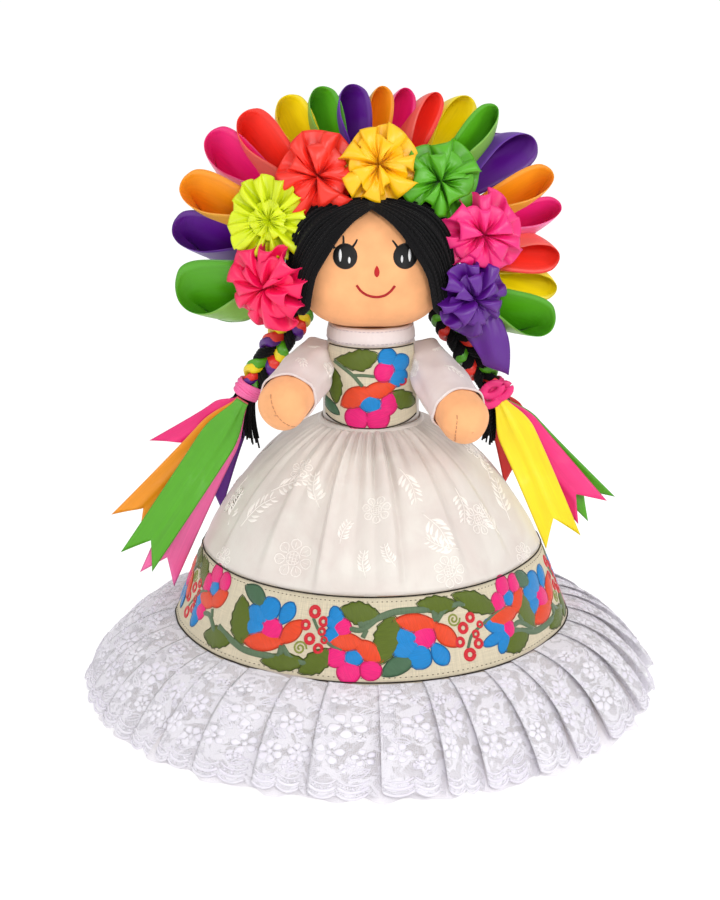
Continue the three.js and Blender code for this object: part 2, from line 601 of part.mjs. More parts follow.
function rosette(reach, seat) {
  const { stemRadius, middle, stemEnd } = rosetteStem(reach, seat);
  const ring = (centre, radius, forward, wave, tilt = seat.tilt) => {
    const face = new THREE.Vector3(0, -1, tilt).normalize();
    const upward = new THREE.Vector3(0, tilt, 1).normalize();
    return Array.from({ length: ROSETTE_LOBES * 2 }, (_, j) => {
      const turn = (Math.PI * j) / ROSETTE_LOBES;
      const fold = j % 2 ? wave : -wave;
      const spread = radius + fold * 0.4;
      return centre.clone().add(new THREE.Vector3(spread * Math.cos(turn), 0, 0))
        .addScaledVector(upward, spread * Math.sin(turn))
        .addScaledVector(face, forward + fold);
    });
  };
  return loft([
    ring(middle, ROSETTE_RADIUS * 0.16, ROSETTE_DEPTH * 0.5, 0.3),
    ring(middle, ROSETTE_RADIUS * 0.5, ROSETTE_DEPTH * 0.55, 1.2),
    ring(middle, ROSETTE_RADIUS, ROSETTE_DEPTH * 0.15, 1.5),
    ring(middle, ROSETTE_RADIUS * 0.9, -ROSETTE_DEPTH * 0.15, 0.8),
    ring(middle.clone().lerp(stemEnd, 0.35), ROSETTE_RADIUS * 0.3, 0, 0.2),
    ring(stemEnd, stemRadius, 0, 0, 0),
  ]);
}

// The folded ribbon that hangs from the stem of the lowest rosette on the left, as a flat leaf.
function dropLoop(angle, seat) {
  const { middle, stemEnd } = rosetteStem(hairReach(angle), seat);
  const start = middle.lerp(stemEnd, DROP_SEAT).applyAxisAngle(new THREE.Vector3(0, 1, 0), Math.PI / 2 - angle);
  const sections = [[0, 0.5], [0.3, 0.8], [0.55, 1], [0.8, 0.85], [1, 0.2]];
  const rings = sections.map(([share, width]) => {
    const point = start.clone().add(new THREE.Vector3(DROP_SWING * share, 0, -DROP_LENGTH * share));
    return Array.from({ length: 8 }, (_, j) => new THREE.Vector3(
      point.x + (RIBBON_WIDTH / 2) * width * Math.cos((Math.PI * j) / 4),
      point.y + DROP_HALF_DEPTH * width * Math.sin((Math.PI * j) / 4),
      point.z));
  });
  return loft(rings);
}

const ROSETTE_COLOURS = ['hotPink', 'chartreuse', 'coral', 'gold', 'green', 'pink', 'purple'];

function makeRosettes() {
  const top = { out: ROSETTE_OUT, y: ROSETTE_Y, tilt: ROSETTE_TILT };
  const forward = { ...top, y: ROSETTE_Y - ROSETTE_STAGGER };
  const side = { out: SIDE_ROSETTE_OUT, y: SIDE_ROSETTE_Y, tilt: SIDE_ROSETTE_TILT };
  const seats = [side, forward, top, forward, top, forward, side];
  steps(ROSETTE_COLOURS.length - 1, ROSETTE_FROM, ROSETTE_TO).forEach((angle, i) => {
    const colour = ROSETTE_COLOURS[i];
    const name = `rosette_${colour.replace('hotPink', 'hot_pink')}`;
    const flower = rosette(hairReach(angle), seats[i]);
    if (colour === 'purple') {
      const drop = dropLoop(angle, seats[i]).rotateY(angle - Math.PI / 2);
      addCrownPiece(name, toGeometry(toSolid(flower).add(toSolid(drop))), angle, COLOURS[colour], 0.35);
    } else {
      addCrownPiece(name, flower, angle, COLOURS[colour], 0.35);
    }
  });
}

// Braids

function braidFrame(side) {
  const down = new THREE.Vector3(side * Math.sin(BRAID_SPLAY), 0, -Math.cos(BRAID_SPLAY));
  const across = new THREE.Vector3(side * Math.cos(BRAID_SPLAY), 0, Math.sin(BRAID_SPLAY));
  const share = HAIR_BOTTOM_DROP / HAIR_HALF_HEIGHT;
  const hairEdge = HAIR_HALF_WIDTH * (1 - share ** HAIR_SQUARENESS) ** (1 / HAIR_SQUARENESS);
  const root = new THREE.Vector3(side * (hairEdge - BRAID_INSET), BRAID_Y, HAIR_BOTTOM_Z);
  return { down, across, root, tie: root.clone().addScaledVector(down, BRAID_LENGTH) };
}

// The line of one strand: it sways from side to side and passes over and under the other two. Strand 0
// reaches the middle of the braid just where the tie holds it.
function strandLine({ down, across, root }, strand) {
  const overrun = BRAID_SWAY * 1.6;
  const end = strand === 0 ? BRAID_LENGTH : BRAID_LENGTH + STRAND_RADIUS;
  return steps(20, -overrun, end).map((along) => {
    const turn = 2 * Math.PI * ((along - BRAID_LENGTH) / BRAID_PITCH + strand / 3);
    return root.clone().addScaledVector(down, along)
      .addScaledVector(across, BRAID_SWAY * Math.sin(turn))
      .addScaledVector(FRONT, BRAID_DEPTH * Math.sin(2 * turn));
  });
}

// What is trimmed off the top of a braid, so that it is round about the line it swings on under the hair.
function braidTop({ root }) {
  const swingZ = HAIR_BOTTOM_Z - SEAM_GAP - BRAID_TOP_RADIUS;
  const above = beyond(new THREE.Vector3(0, 0, swingZ), UP);
  const round = new THREE.CylinderGeometry(BRAID_TOP_RADIUS, BRAID_TOP_RADIUS, 4 * HAIR_HALF_WIDTH, 20);
  round.rotateZ(Math.PI / 2).translate(0, root.y, swingZ);
  return cut(above, round);
}

// One tail: a ribbon from under the tie that widens, hangs and ends in a swallowtail.
function ribbonTail({ down, tie }, side, { splay, length, layer, drift }) {
  const way = new THREE.Vector3(side * Math.sin(splay), 0, -Math.cos(splay));
  const depth = layer < 0 ? -TUFT_RADIUS - SEAM_GAP / 2 : TUFT_RADIUS + layer * TAIL_LAYER;
  const reach = length * RIBBON_WIDTH;
  const forward = drift * RIBBON_WIDTH;
  const start = tie.clone().addScaledVector(down, TIE_HEIGHT + SEAM_GAP).addScaledVector(FRONT, depth);
  const elbow = start.clone().addScaledVector(down, reach * 0.2).addScaledVector(FRONT, forward * 0.35);
  const end = start.clone().addScaledVector(way, reach).addScaledVector(FRONT, forward);
  const curve = new THREE.QuadraticBezierCurve3(start, elbow, end);
  const shares = [0, 0.12, 0.3, 0.55, 0.8, 1];
  const rings = shares.map((share, i) => {
    const point = curve.getPoint(share);
    const along = curve.getTangent(share);
    const sideways = new THREE.Vector3().crossVectors(along, FRONT).normalize();
    const skin = new THREE.Vector3().crossVectors(sideways, along).normalize();
    const half = (RIBBON_WIDTH / 2) * THREE.MathUtils.lerp(0.35, 1, THREE.MathUtils.smoothstep(share, 0, 0.4));
    const notch = i === shares.length - 1 ? TAIL_NOTCH : 0;
    return [[-1, -1], [0, -1], [1, -1], [1, 1], [0, 1], [-1, 1]].map(([w, t]) => point.clone()
      .addScaledVector(sideways, w * half).addScaledVector(skin, (t * RIBBON_THICKNESS) / 2)
      .addScaledVector(along, w === 0 ? -notch : 0));
  });
  return loft(rings, 'ladder');
}

// Splay from straight down, length in ribbon widths, layer in front of the tie's middle counted in ribbon layers,
// and how much further forward the end hangs, also in ribbon widths.
const degrees = THREE.MathUtils.degToRad;
const TAILS = {
  right: [
    { colour: 'pink', splay: degrees(56), length: 2.75, layer: 0, drift: 0.125 },
    { colour: 'orange', splay: degrees(43), length: 4.75, layer: 1, drift: 0.25 },
    { colour: 'rose', splay: degrees(26), length: 5.42, layer: 2, drift: 0.58 },
    { colour: 'green', splay: degrees(34), length: 5.17, layer: 3, drift: 0.71 },
    { colour: 'purple', splay: degrees(19), length: 3.83, layer: -1, drift: -1.42 },
  ],
  left: [
    { colour: 'green', splay: degrees(43), length: 4.17, layer: 0, drift: 0.125 },
    { colour: 'pink', splay: degrees(40), length: 4, layer: 1, drift: 0.33 },
    { colour: 'yellow', splay: degrees(25), length: 4.17, layer: 2, drift: 0.58 },
    { colour: 'red', splay: degrees(16), length: 3, layer: -1, drift: -1.58 },
  ],
};

function makeBraid(sideName, side) {
  const frame = braidFrame(side);
  const { down, across, tie } = frame;
  const topTrim = braidTop(frame);
  const tieTrim = beyond(tie, down);
  const strandColours = ['hair', 'coral', 'green'];
  ['yarn', 'ribbon_a', 'ribbon_b'].forEach((name, strand) => {
    const line = strandLine(frame, strand);
    const radii = line.map(() => STRAND_RADIUS);
    if (strand === 0) {
      // The yarn goes on through the tie and ends in a brush of loose ends.
      [0.5, 1].forEach((share) => {
        line.push(tie.clone().addScaledVector(down, TIE_HEIGHT * share));
        radii.push(STRAND_RADIUS);
      });
      [0.4, 0.8, 1].forEach((share) => {
        line.push(tie.clone().addScaledVector(down, TIE_HEIGHT + TUFT_LENGTH * share));
        radii.push(THREE.MathUtils.lerp(STRAND_RADIUS, TUFT_RADIUS, share));
      });
    }
    const tube = loft(tubeRings(line, radii, 6, across));
    const trims = strand === 0 ? [topTrim] : [topTrim, tieTrim];
    addPiece(`${sideName}_braid_${name}`, cut(tube, ...trims), COLOURS[strandColours[strand]]);
  });

  // Tie: a wound ring with a bore for the yarn.
  const bore = STRAND_RADIUS + 3 * SEAM_GAP;
  const waist = TIE_RADIUS - 1;
  const ring = new THREE.LatheGeometry([
    [bore, SEAM_GAP], [TIE_RADIUS, SEAM_GAP], [waist, TIE_HEIGHT / 2], [TIE_RADIUS, TIE_HEIGHT],
    [bore, TIE_HEIGHT], [bore, SEAM_GAP],
  ].map(([radius, height]) => new THREE.Vector2(radius, height)), 16);
  ring.applyQuaternion(new THREE.Quaternion().setFromUnitVectors(new THREE.Vector3(0, 1, 0), down));
  ring.translate(tie.x, tie.y, tie.z);
  addPiece(`${sideName}_braid_tie`, toGeometry(toSolid(ring)), COLOURS.rose);

  TAILS[sideName].forEach((tail) => {
    addPiece(`${sideName}_tail_${tail.colour}`, ribbonTail(frame, side, tail), COLOURS[tail.colour], 0.5);
  });
}

makeBody();
makeLeg('right_leg', -1);
makeLeg('left_leg', 1);
makeArm('right_arm', 'right_sleeve', -1);
makeArm('left_arm', 'left_sleeve', 1);
makeUpperDress();
makeSkirt();
makeHair();
makeCrownBand();
makeLoops();
makeRosettes();
makeBraid('right', -1);
makeBraid('left', 1);

export default doll;
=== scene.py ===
import math

import bpy
import numpy as np
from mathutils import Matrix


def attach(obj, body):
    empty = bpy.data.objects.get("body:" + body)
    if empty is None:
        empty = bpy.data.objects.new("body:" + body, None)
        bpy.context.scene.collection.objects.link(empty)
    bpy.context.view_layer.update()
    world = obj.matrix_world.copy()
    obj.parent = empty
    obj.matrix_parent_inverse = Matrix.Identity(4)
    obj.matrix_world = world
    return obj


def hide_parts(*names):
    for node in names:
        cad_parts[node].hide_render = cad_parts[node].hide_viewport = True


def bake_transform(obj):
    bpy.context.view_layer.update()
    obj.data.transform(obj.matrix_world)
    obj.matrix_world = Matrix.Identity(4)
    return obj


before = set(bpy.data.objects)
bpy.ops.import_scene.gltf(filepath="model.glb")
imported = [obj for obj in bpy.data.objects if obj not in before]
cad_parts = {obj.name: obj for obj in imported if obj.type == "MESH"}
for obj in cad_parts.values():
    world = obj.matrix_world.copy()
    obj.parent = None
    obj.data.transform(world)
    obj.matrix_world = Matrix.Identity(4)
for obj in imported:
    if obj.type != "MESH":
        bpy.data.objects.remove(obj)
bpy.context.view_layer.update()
MM = 0.001
TAU = 2 * math.pi


# Small helpers

def smooth(x, lo=0.0, hi=1.0):
    t = np.clip((np.asarray(x, float) - lo) / (hi - lo), 0, 1)
    return t * t * (3 - 2 * t)


def lerp(a, b, t):
    return a + (b - a) * t


def vec(*xyz):
    return np.array(xyz, float)


def unit(a):
    return a / np.maximum(np.linalg.norm(a, axis=-1, keepdims=True), 1e-9)


def stack(x, y, z):
    return np.stack(np.broadcast_arrays(x, y, z), -1)


def bezier(points, t):
    """A quadratic curve through three control points at the shares t."""
    t = np.asarray(t, float)[..., None]
    a, b, c = (np.asarray(p, float) for p in points)
    return (1 - t) ** 2 * a + 2 * t * (1 - t) * b + t * t * c


def spline(points, count):
    """A smooth line through the points, by count places along it."""
    p = np.asarray(points, float)
    p = np.vstack([2 * p[0] - p[1], p, 2 * p[-1] - p[-2]])
    at = np.linspace(0, len(p) - 3 - 1e-9, count)
    i = at.astype(int)
    t = (at - i)[:, None]
    a, b, c, d = p[i], p[i + 1], p[i + 2], p[i + 3]
    square, cube = 2 * a - 5 * b + 4 * c - d, 3 * b - a - 3 * c + d
    return 0.5 * (2 * b + (c - a) * t + square * t ** 2 + cube * t ** 3)


def waves(x, seed, low, high, count=5):
    """A smooth uneven line: a few sines with drawn lengths and phases, between -1 and 1."""
    draw = np.random.default_rng(seed)
    total = 0
    for _ in range(count):
        total = total + np.sin(x * draw.uniform(low, high) + draw.uniform(0, TAU))
    return total / count ** 0.5 / 1.4


def steps_of(line):
    """Length of each step along a line of points."""
    return np.linalg.norm(np.diff(line, axis=0), axis=1)


def run_of(line):
    """Length of a whole line of points."""
    return steps_of(line).sum()


def runs_along(line):
    """Length of a line up to each of its points."""
    return np.concatenate([[0], np.cumsum(steps_of(line))])


def turning(angle):
    """Matrix that turns flat points by an angle."""
    c, s = math.cos(angle), math.sin(angle)
    return np.array([[c, -s], [s, c]])


def ways_round(count, turn):
    """Flat directions spread evenly round a middle."""
    angles = [turn + k * TAU / count for k in range(count)]
    return [np.array([math.cos(a), math.sin(a)]) for a in angles]


# Shapes are (points, faces, corner uvs) in millimetres, with uvs in metres

def grid(fn, us, vs, wrap=False, uv=None):
    """Quads over fn(u, v). With wrap, the last u is the first one again."""
    us, vs = np.asarray(us, float), np.asarray(vs, float)
    u, v = np.meshgrid(us, vs, indexing="ij")
    points = fn(u, v)
    coords = np.stack(np.broadcast_arrays(*(uv(u, v) if uv else (u, v))), -1)
    nu, nv = u.shape
    if wrap:
        points = points[:-1]
    rows = points.shape[0]
    i, j = np.meshgrid(np.arange(nu - 1), np.arange(nv - 1), indexing="ij")
    k = (i + 1) % rows
    faces = np.stack([i * nv + j, k * nv + j, k * nv + j + 1, i * nv + j + 1], -1).reshape(-1, 4)
    corners = np.stack([coords[i, j], coords[i + 1, j], coords[i + 1, j + 1], coords[i, j + 1]], 2)
    return points.reshape(-1, 3), faces.tolist(), corners.reshape(-1, 2) * MM


def join(shapes):
    """Several shapes as one."""
    points, faces, uvs, start = [], [], [], 0
    for p, f, t in shapes:
        points.append(p)
        faces.extend([[c + start for c in face] for face in f])
        uvs.append(t)
        start += len(p)
    return np.vstack(points), faces, np.vstack(uvs)


def frames(path, up):
    """Along, sideways and skin directions on a path, sideways square to up."""
    along = unit(np.gradient(path, axis=0))
    side = unit(np.cross(along, up))
    return along, side, np.cross(side, along)


def tube(path, wide, deep=None, sides=8, up=(0, 1, 0), twist=0.0, caps=True):
    """A round or flattened tube along a path, with closed ends."""
    path = np.asarray(path, float)
    n = len(path)
    wide = np.broadcast_to(np.asarray(wide, float), (n,))
    deep = wide if deep is None else np.broadcast_to(np.asarray(deep, float), (n,))
    _, side, skin = frames(path, np.asarray(up, float))
    length = runs_along(path)

    def point(u, v):
        i = np.rint(v * (n - 1)).astype(int)
        a = u * TAU + twist * length[i]
        x, y = wide[i] * np.cos(a), deep[i] * np.sin(a)
        return path[i] + side[i] * x[..., None] + skin[i] * y[..., None]

    def flat(u, v):
        i = np.rint(v * (n - 1)).astype(int)
        return u * TAU * wide.mean(), length[i]

    points, faces, uvs = grid(point, np.linspace(0, 1, sides + 1), np.linspace(0, 1, n), wrap=True, uv=flat)
    if caps:
        faces = faces + [[j * n for j in range(sides)][::-1], [j * n + n - 1 for j in range(sides)]]
        uvs = np.vstack([uvs, np.zeros((2 * sides, 2))])
    return points, faces, uvs


def piece(name, parts, body, replaces=(), thick=0.0, out=0.0, other_side=None):
    """One object from one or more (shape, material) pairs, riding on a body."""
    parts = [parts] if isinstance(parts, tuple) else parts
    points, faces, uvs = join([shape for shape, _ in parts])
    mesh = bpy.data.meshes.new(name)
    mesh.from_pydata((points * MM).tolist(), [], faces)
    layer = mesh.uv_layers.new(name="UVMap")
    layer.data.foreach_set("uv", uvs.ravel())
    looks = []
    index = []
    for shape, look in parts:
        if look not in looks:
            looks.append(look)
        index.extend([looks.index(look)] * len(shape[1]))
    for look in looks:
        mesh.materials.append(look)
    mesh.polygons.foreach_set("material_index", index)
    mesh.polygons.foreach_set("use_smooth", [True] * len(faces))
    mesh.validate()
    obj = bpy.data.objects.new(name, mesh)
    bpy.context.scene.collection.objects.link(obj)
    if thick:
        cloth = obj.modifiers.new("cloth", "SOLIDIFY")
        cloth.thickness = thick * MM
        cloth.offset = out
        cloth.use_even_offset = False
        if other_side:
            mesh.materials.append(other_side)
            cloth.material_offset = 1
    if body:
        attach(obj, body)
    if replaces:
        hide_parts(*replaces)
    return obj


def sheet(area=None):
    """Turn a sheet's cut area from square millimetres into square metres; the result is not kept."""
    area = None if area is None else area * MM * MM


# What the cloth was cut to, in millimetres, and how much of it the waist gathers take up
RIBBON_WIDTH = 24.0
WAIST_FULLNESS = 2.0


# Colours and materials

def linear(code):
    c = [int(code[i:i + 2], 16) / 255 for i in (0, 2, 4)]
    return [v / 12.92 if v <= 0.04045 else ((v + 0.055) / 1.055) ** 2.4 for v in c] + [1.0]


def shade(code, k):
    return [min(c * k, 1.0) for c in linear(code)[:3]] + [1.0]


class Look:
    """A material with short ways to add and link nodes."""

    def __init__(self, name, roughness=0.7, **sockets):
        self.material = bpy.data.materials.new(name)
        self.material.use_nodes = True
        self.nodes = self.material.node_tree.nodes
        self.links = self.material.node_tree.links
        self.surface = self.nodes["Principled BSDF"]
        self.surface.inputs["Roughness"].default_value = roughness
        for socket, value in sockets.items():
            self.surface.inputs[socket.replace("_", " ")].default_value = value

    def put(self, socket, value):
        if hasattr(value, "links"):
            self.links.new(value, socket)
        else:
            socket.default_value = value

    def add(self, kind, inputs=None, **props):
        node = self.nodes.new("ShaderNode" + kind)
        for key, value in props.items():
            setattr(node, key, value)
        for key, value in (inputs or {}).items():
            self.put(node.inputs[key], value)
        return node

    def math(self, operation, a, b=0.0):
        return self.add("Math", {0: a, 1: b}, operation=operation).outputs[0]

    def uv(self):
        split = self.add("SeparateXYZ", {0: self.add("UVMap").outputs[0]})
        return split.outputs[0], split.outputs[1]

    def place(self, sx, sy, sz=1.0, source="uv"):
        base = self.add("UVMap").outputs[0] if source == "uv" else self.add("TexCoord").outputs["Object"]
        return self.add("Mapping", {0: base, 3: (sx, sy, sz)}).outputs[0]

    def noise(self, where, detail=3.0, rough=0.55, scale=1.0, distortion=0.0):
        return self.add("TexNoise", {0: where, "Scale": scale, "Detail": detail, "Roughness": rough,
                                     "Distortion": distortion}).outputs[0]

    def wave(self, coordinate, pitch):
        """A thread line every pitch metres, 0 to 1."""
        s = self.math("SINE", self.math("MULTIPLY", coordinate, TAU / pitch))
        return self.math("ADD", self.math("MULTIPLY", s, 0.5), 0.5)

    def weave(self, pitch):
        u, v = self.uv()
        a = self.math("SINE", self.math("MULTIPLY", u, TAU / pitch))
        b = self.math("SINE", self.math("MULTIPLY", v, TAU / pitch))
        return self.math("ADD", self.math("MULTIPLY", self.math("MULTIPLY", a, b), 0.5), 0.5)

    def mix(self, factor, a, b):
        node = self.add("Mix", data_type="RGBA")
        self.put(node.inputs[0], factor)
        self.put(node.inputs[6], a)
        self.put(node.inputs[7], b)
        return node.outputs[2]

    def ramp(self, value, lo, hi):
        return self.add("MapRange", {0: value, 1: lo, 2: hi}).outputs[0]

    def colour(self, socket):
        self.put(self.surface.inputs["Base Color"], socket)

    def bump(self, height, depth, strength=0.5):
        node = self.add("Bump", {"Strength": strength, "Distance": depth * MM, "Height": height})
        self.put(self.surface.inputs["Normal"], node.outputs[0])


def cotton(name, code, pitch=0.55, dark=0.86):
    """Plain woven cotton: a fine weave, soft blotches, a little fuzz."""
    look = Look(name, 0.86, Sheen_Weight=0.12, Sheen_Roughness=0.5, Specular_IOR_Level=0.2)
    weave = look.weave(pitch * MM)
    blotch = look.noise(look.place(70, 70, 70, "object"), 4)
    cloth = look.mix(look.ramp(blotch, 0.3, 0.7), shade(code, dark), shade(code, 1.04))
    look.colour(look.mix(look.math("MULTIPLY", weave, 0.16), cloth, shade(code, dark * 0.78)))
    look.bump(weave, 0.12, 0.5)
    return look.material


def satin(name, code, width=RIBBON_WIDTH, dark=0.72, gloss=0.37):
    """Satin ribbon: fine cross ribs, long soft streaks of sheen and a woven edge on both sides."""
    look = Look(name, gloss, Anisotropic=0.6, Sheen_Weight=0.05, Sheen_Roughness=0.35,
                Specular_IOR_Level=0.58)
    u, v = look.uv()
    streak = look.noise(look.place(40, 900), 3)
    soft = look.noise(look.place(60, 60), 3)
    tone = look.mix(look.ramp(streak, 0.3, 0.7), shade(code, 0.88), shade(code, 1.06))
    tone = look.mix(look.ramp(soft, 0.35, 0.75), tone, shade(code, 0.9))
    edge = look.math("ABSOLUTE", look.math("SUBTRACT", look.math("DIVIDE", v, width * MM), 0.5))
    edge = look.ramp(edge, 0.455, 0.478)
    look.colour(look.mix(look.math("MULTIPLY", edge, 0.55), tone, shade(code, dark)))
    ribs = look.wave(u, 0.42 * MM)
    height = look.math("ADD", look.math("MULTIPLY", ribs, 0.5), look.math("MULTIPLY", edge, 1.5))
    look.bump(height, 0.1, 0.35)
    dull = look.math("ADD", look.math("MULTIPLY", streak, 0.22), gloss - 0.08)
    look.put(look.surface.inputs["Roughness"], dull)
    return look.material


def thread(name, code, pitch=0.42, gloss=0.42):
    """Satin stitch: threads laid side by side across the shape."""
    look = Look(name, gloss, Sheen_Weight=0.25, Sheen_Roughness=0.3, Specular_IOR_Level=0.35)
    u, _ = look.uv()
    wobble = look.noise(look.place(160, 160), 2)
    line = look.wave(look.math("ADD", u, look.math("MULTIPLY", wobble, 0.0006)), pitch * MM)
    strands = look.noise(look.place(2600, 120), 2)
    tone = look.mix(look.ramp(strands, 0.3, 0.7), shade(code, 0.78), shade(code, 1.1))
    look.colour(look.mix(look.math("MULTIPLY", line, 0.3), tone, shade(code, 0.6)))
    look.bump(line, 0.16, 0.6)
    return look.material


def linen(name, code):
    """Coarse linen with uneven threads."""
    look = Look(name, 0.88, Sheen_Weight=0.1, Specular_IOR_Level=0.15)
    weave = look.weave(0.9 * MM)
    warp = look.noise(look.place(2400, 60), 2)
    weft = look.noise(look.place(60, 2400), 2)
    slub = look.math("MULTIPLY", look.math("ADD", warp, weft), 0.5)
    tone = look.mix(look.ramp(slub, 0.36, 0.64), shade(code, 0.78), shade(code, 1.1))
    look.colour(look.mix(look.math("MULTIPLY", weave, 0.22), tone, shade(code, 0.66)))
    look.bump(look.math("ADD", weave, slub), 0.22, 0.55)
    return look.material


def brocade(name, code, tint, gloss=0.42):
    """White brocade ground: fine satin threads with a faint warm and rosy change of sheen."""
    look = Look(name, gloss, Sheen_Weight=0.22, Sheen_Roughness=0.4, Anisotropic=0.3,
                Specular_IOR_Level=0.4)
    _, v = look.uv()
    patch = look.noise(look.place(38, 38, 38, "object"), 3, distortion=0.6)
    fine = look.noise(look.place(1500, 160), 2)
    tone = look.mix(look.ramp(patch, 0.36, 0.66), linear(code), linear(tint))
    tone = look.mix(look.math("MULTIPLY", fine, 0.22), tone, shade(code, 0.78))
    look.colour(tone)
    look.bump(look.math("ADD", look.wave(v, 0.5 * MM), fine), 0.08, 0.4)
    return look.material


def net(name, code, cell, cover, closed, deep, hem):
    """Sheer net: a fine mesh of threads, close in clouds and open between them, paler towards its hem; its
    deep colour above the hem is painted shade, for where it hangs in shadow.
    """
    look = Look(name, 0.8, Sheen_Weight=0.2)
    _, v = look.uv()
    mesh = look.add("TexVoronoi", {0: look.place(1, 1), "Scale": 1 / (cell * MM)}, voronoi_dimensions="2D",
                    feature="DISTANCE_TO_EDGE").outputs[0]
    hole = look.ramp(mesh, 0.08, 0.2)
    cloud = look.ramp(look.noise(look.place(105, 105), 2, distortion=1.2), 0.44, 0.54)
    see = look.math("MULTIPLY", hole, look.math("SUBTRACT", 1.0, look.math("MULTIPLY", cloud, closed)))
    solid = look.math("SUBTRACT", 1.0, look.math("MULTIPLY", see, 1 - cover))
    look.put(look.surface.inputs["Alpha"], solid)
    # painted shade: the deep colour above the hem range, turning to the net's own colour at the hem
    look.colour(look.mix(look.ramp(v, hem[0] * MM, hem[1] * MM), linear(deep), linear(code)))
    look.bump(look.math("SUBTRACT", 1.0, hole), 0.12, 0.5)
    return look.material


def yarn(name, code, pitch=1.6):
    """Twisted matte yarn: slanting plies and loose fuzz."""
    look = Look(name, 0.85, Sheen_Weight=0.05, Specular_IOR_Level=0.18)
    u, v = look.uv()
    ply = look.wave(look.math("ADD", u, look.math("MULTIPLY", v, 0.6)), pitch * MM)
    fuzz = look.noise(look.place(900, 900), 3)
    look.colour(look.mix(look.math("MULTIPLY", fuzz, ply), shade(code, 0.6), shade(code, 2.2)))
    look.bump(look.math("ADD", ply, look.math("MULTIPLY", fuzz, 0.6)), 0.3, 0.6)
    return look.material


RIBBON = {"green": "52a80f", "purple": "590d88", "orange": "fb9a10", "pink": "ee1c78",
          "coral": "f62f1e", "yellow": "fbe000", "chartreuse": "d6e400", "gold": "fcc000",
          "hot_pink": "f50e5a", "rose": "f56aa8", "red": "e01a10"}
ribbon_look = {name: satin("ribbon_" + name, code) for name, code in RIBBON.items()}
# Paler copies of the loop ribbon colours for each loop's outside face: painted light and sheen where that
# face catches the light
PAINTED_LIT_SIDE = {"green": "86bd4c", "yellow": "fdea2e", "coral": "f7685c", "pink": "f47ab2", "orange": "fdb43a",
        "purple": "6a2bab"}
painted_lit_side_look = {name: satin("ribbon_painted_lit_side_" + name, code) for name, code in PAINTED_LIT_SIDE.items()}
skin = cotton("peach_cotton", "f9b37c")
sole_skin = cotton("peach_cotton_foot", "f4a870")
white_cloth = brocade("brocade_white", "ddd6ce", "d4c8c1")
rosy_cloth = brocade("brocade_rosy", "e4d8d5", "dacbc9", 0.5)
silk = brocade("brocade_raised", "f4eee6", "efe6e0", 0.3)
linen_cloth = linen("linen_trim", "d6cab0")
lace_net = net("lace_net", "e6e3ea", 0.95, 0.12, 0.75, "e6e3ea", (0, 20))
lace_thread = brocade("lace_thread", "e9e6ed", "e2dde9", 0.7)
# The lining's deep colour b9adab is painted shade where it hangs behind the lace; at its hem it turns to its
# own pale colour
lining_net = net("lining_net", "ece8ee", 0.9, 0.75, 0.3, "b9adab", (56, 80))
hair_yarn = yarn("hair_yarn", "070608")
piping = yarn("dark_piping", "2c2420", 0.9)
seam_thread = thread("seam_thread", "cc8a5c")
collar_thread = thread("collar_thread", "cbbcc4")
stitch_dark = thread("stitch_dark", "4a3f30")
STITCH = {"blue": "0084cc", "magenta": "f0107a", "vermilion": "e8451a", "olive": "596a10", "leaf": "44694a",
          "stem": "5c7355", "berry": "d61f2e", "tendril": "8d9440", "black": "0a090a", "white": "f4f4f4",
          "face_red": "c4121a", "mouth": "b0121a"}
stitch_look = {name: thread("stitch_" + name, code) for name, code in STITCH.items()}
# Darker thread colours: round each stitched shape they are painted shade in the crease at its edge; on the
# trim's leaves they are the vein threads
CREASE_SHADE_AND_VEIN = {"blue": "00639f", "magenta": "c40860", "vermilion": "b8330e", "olive": "3f4a0a", "leaf": "30513a"}
crease_shade_and_vein_look = {name: thread("stitch_crease_shade_and_vein_" + name, code) for name, code in CREASE_SHADE_AND_VEIN.items()}


# Camera, light and floor

def lamp(name, place, size, power, target=(0, 0, 0.2)):
    light = bpy.data.lights.new(name, "AREA")
    light.shape = "DISK"
    light.size = size
    light.energy = power
    obj = bpy.data.objects.new(name, light)
    obj.location = place
    d = np.asarray(target, float) - np.asarray(place, float)
    flat = math.hypot(d[0], d[1])
    obj.rotation_euler = (math.pi / 2 + math.atan2(d[2], flat), 0, math.atan2(d[1], d[0]) - math.pi / 2)
    bpy.context.scene.collection.objects.link(obj)


CAMERA_PLACE = (-0.007, -1.150, 0.506)
CAMERA_PITCH = math.radians(16.9)
camera = bpy.data.cameras.new("camera")
camera.lens = 74.68
camera.sensor_width = 36
eye = bpy.data.objects.new("camera", camera)
eye.location = CAMERA_PLACE
eye.rotation_euler = (math.pi / 2 - CAMERA_PITCH, 0, 0)
bpy.context.scene.collection.objects.link(eye)
bpy.context.scene.camera = eye
bpy.context.scene.view_settings.view_transform = "Standard"

world = bpy.data.worlds.new("studio")
world.use_nodes = True
world.node_tree.nodes["Background"].inputs[0].default_value = (1, 1, 1, 1)
world.node_tree.nodes["Background"].inputs[1].default_value = 0.6
bpy.context.scene.world = world
lamp("key", (0.3, -1.5, 1.0), 0.5, 10)
lamp("right", (1.25, -0.6, 0.95), 0.5, 5.5)
lamp("left", (-1.25, -0.8, 0.95), 0.5, 4.5)
lamp("top", (0.1, 0.2, 1.7), 1.0, 3)

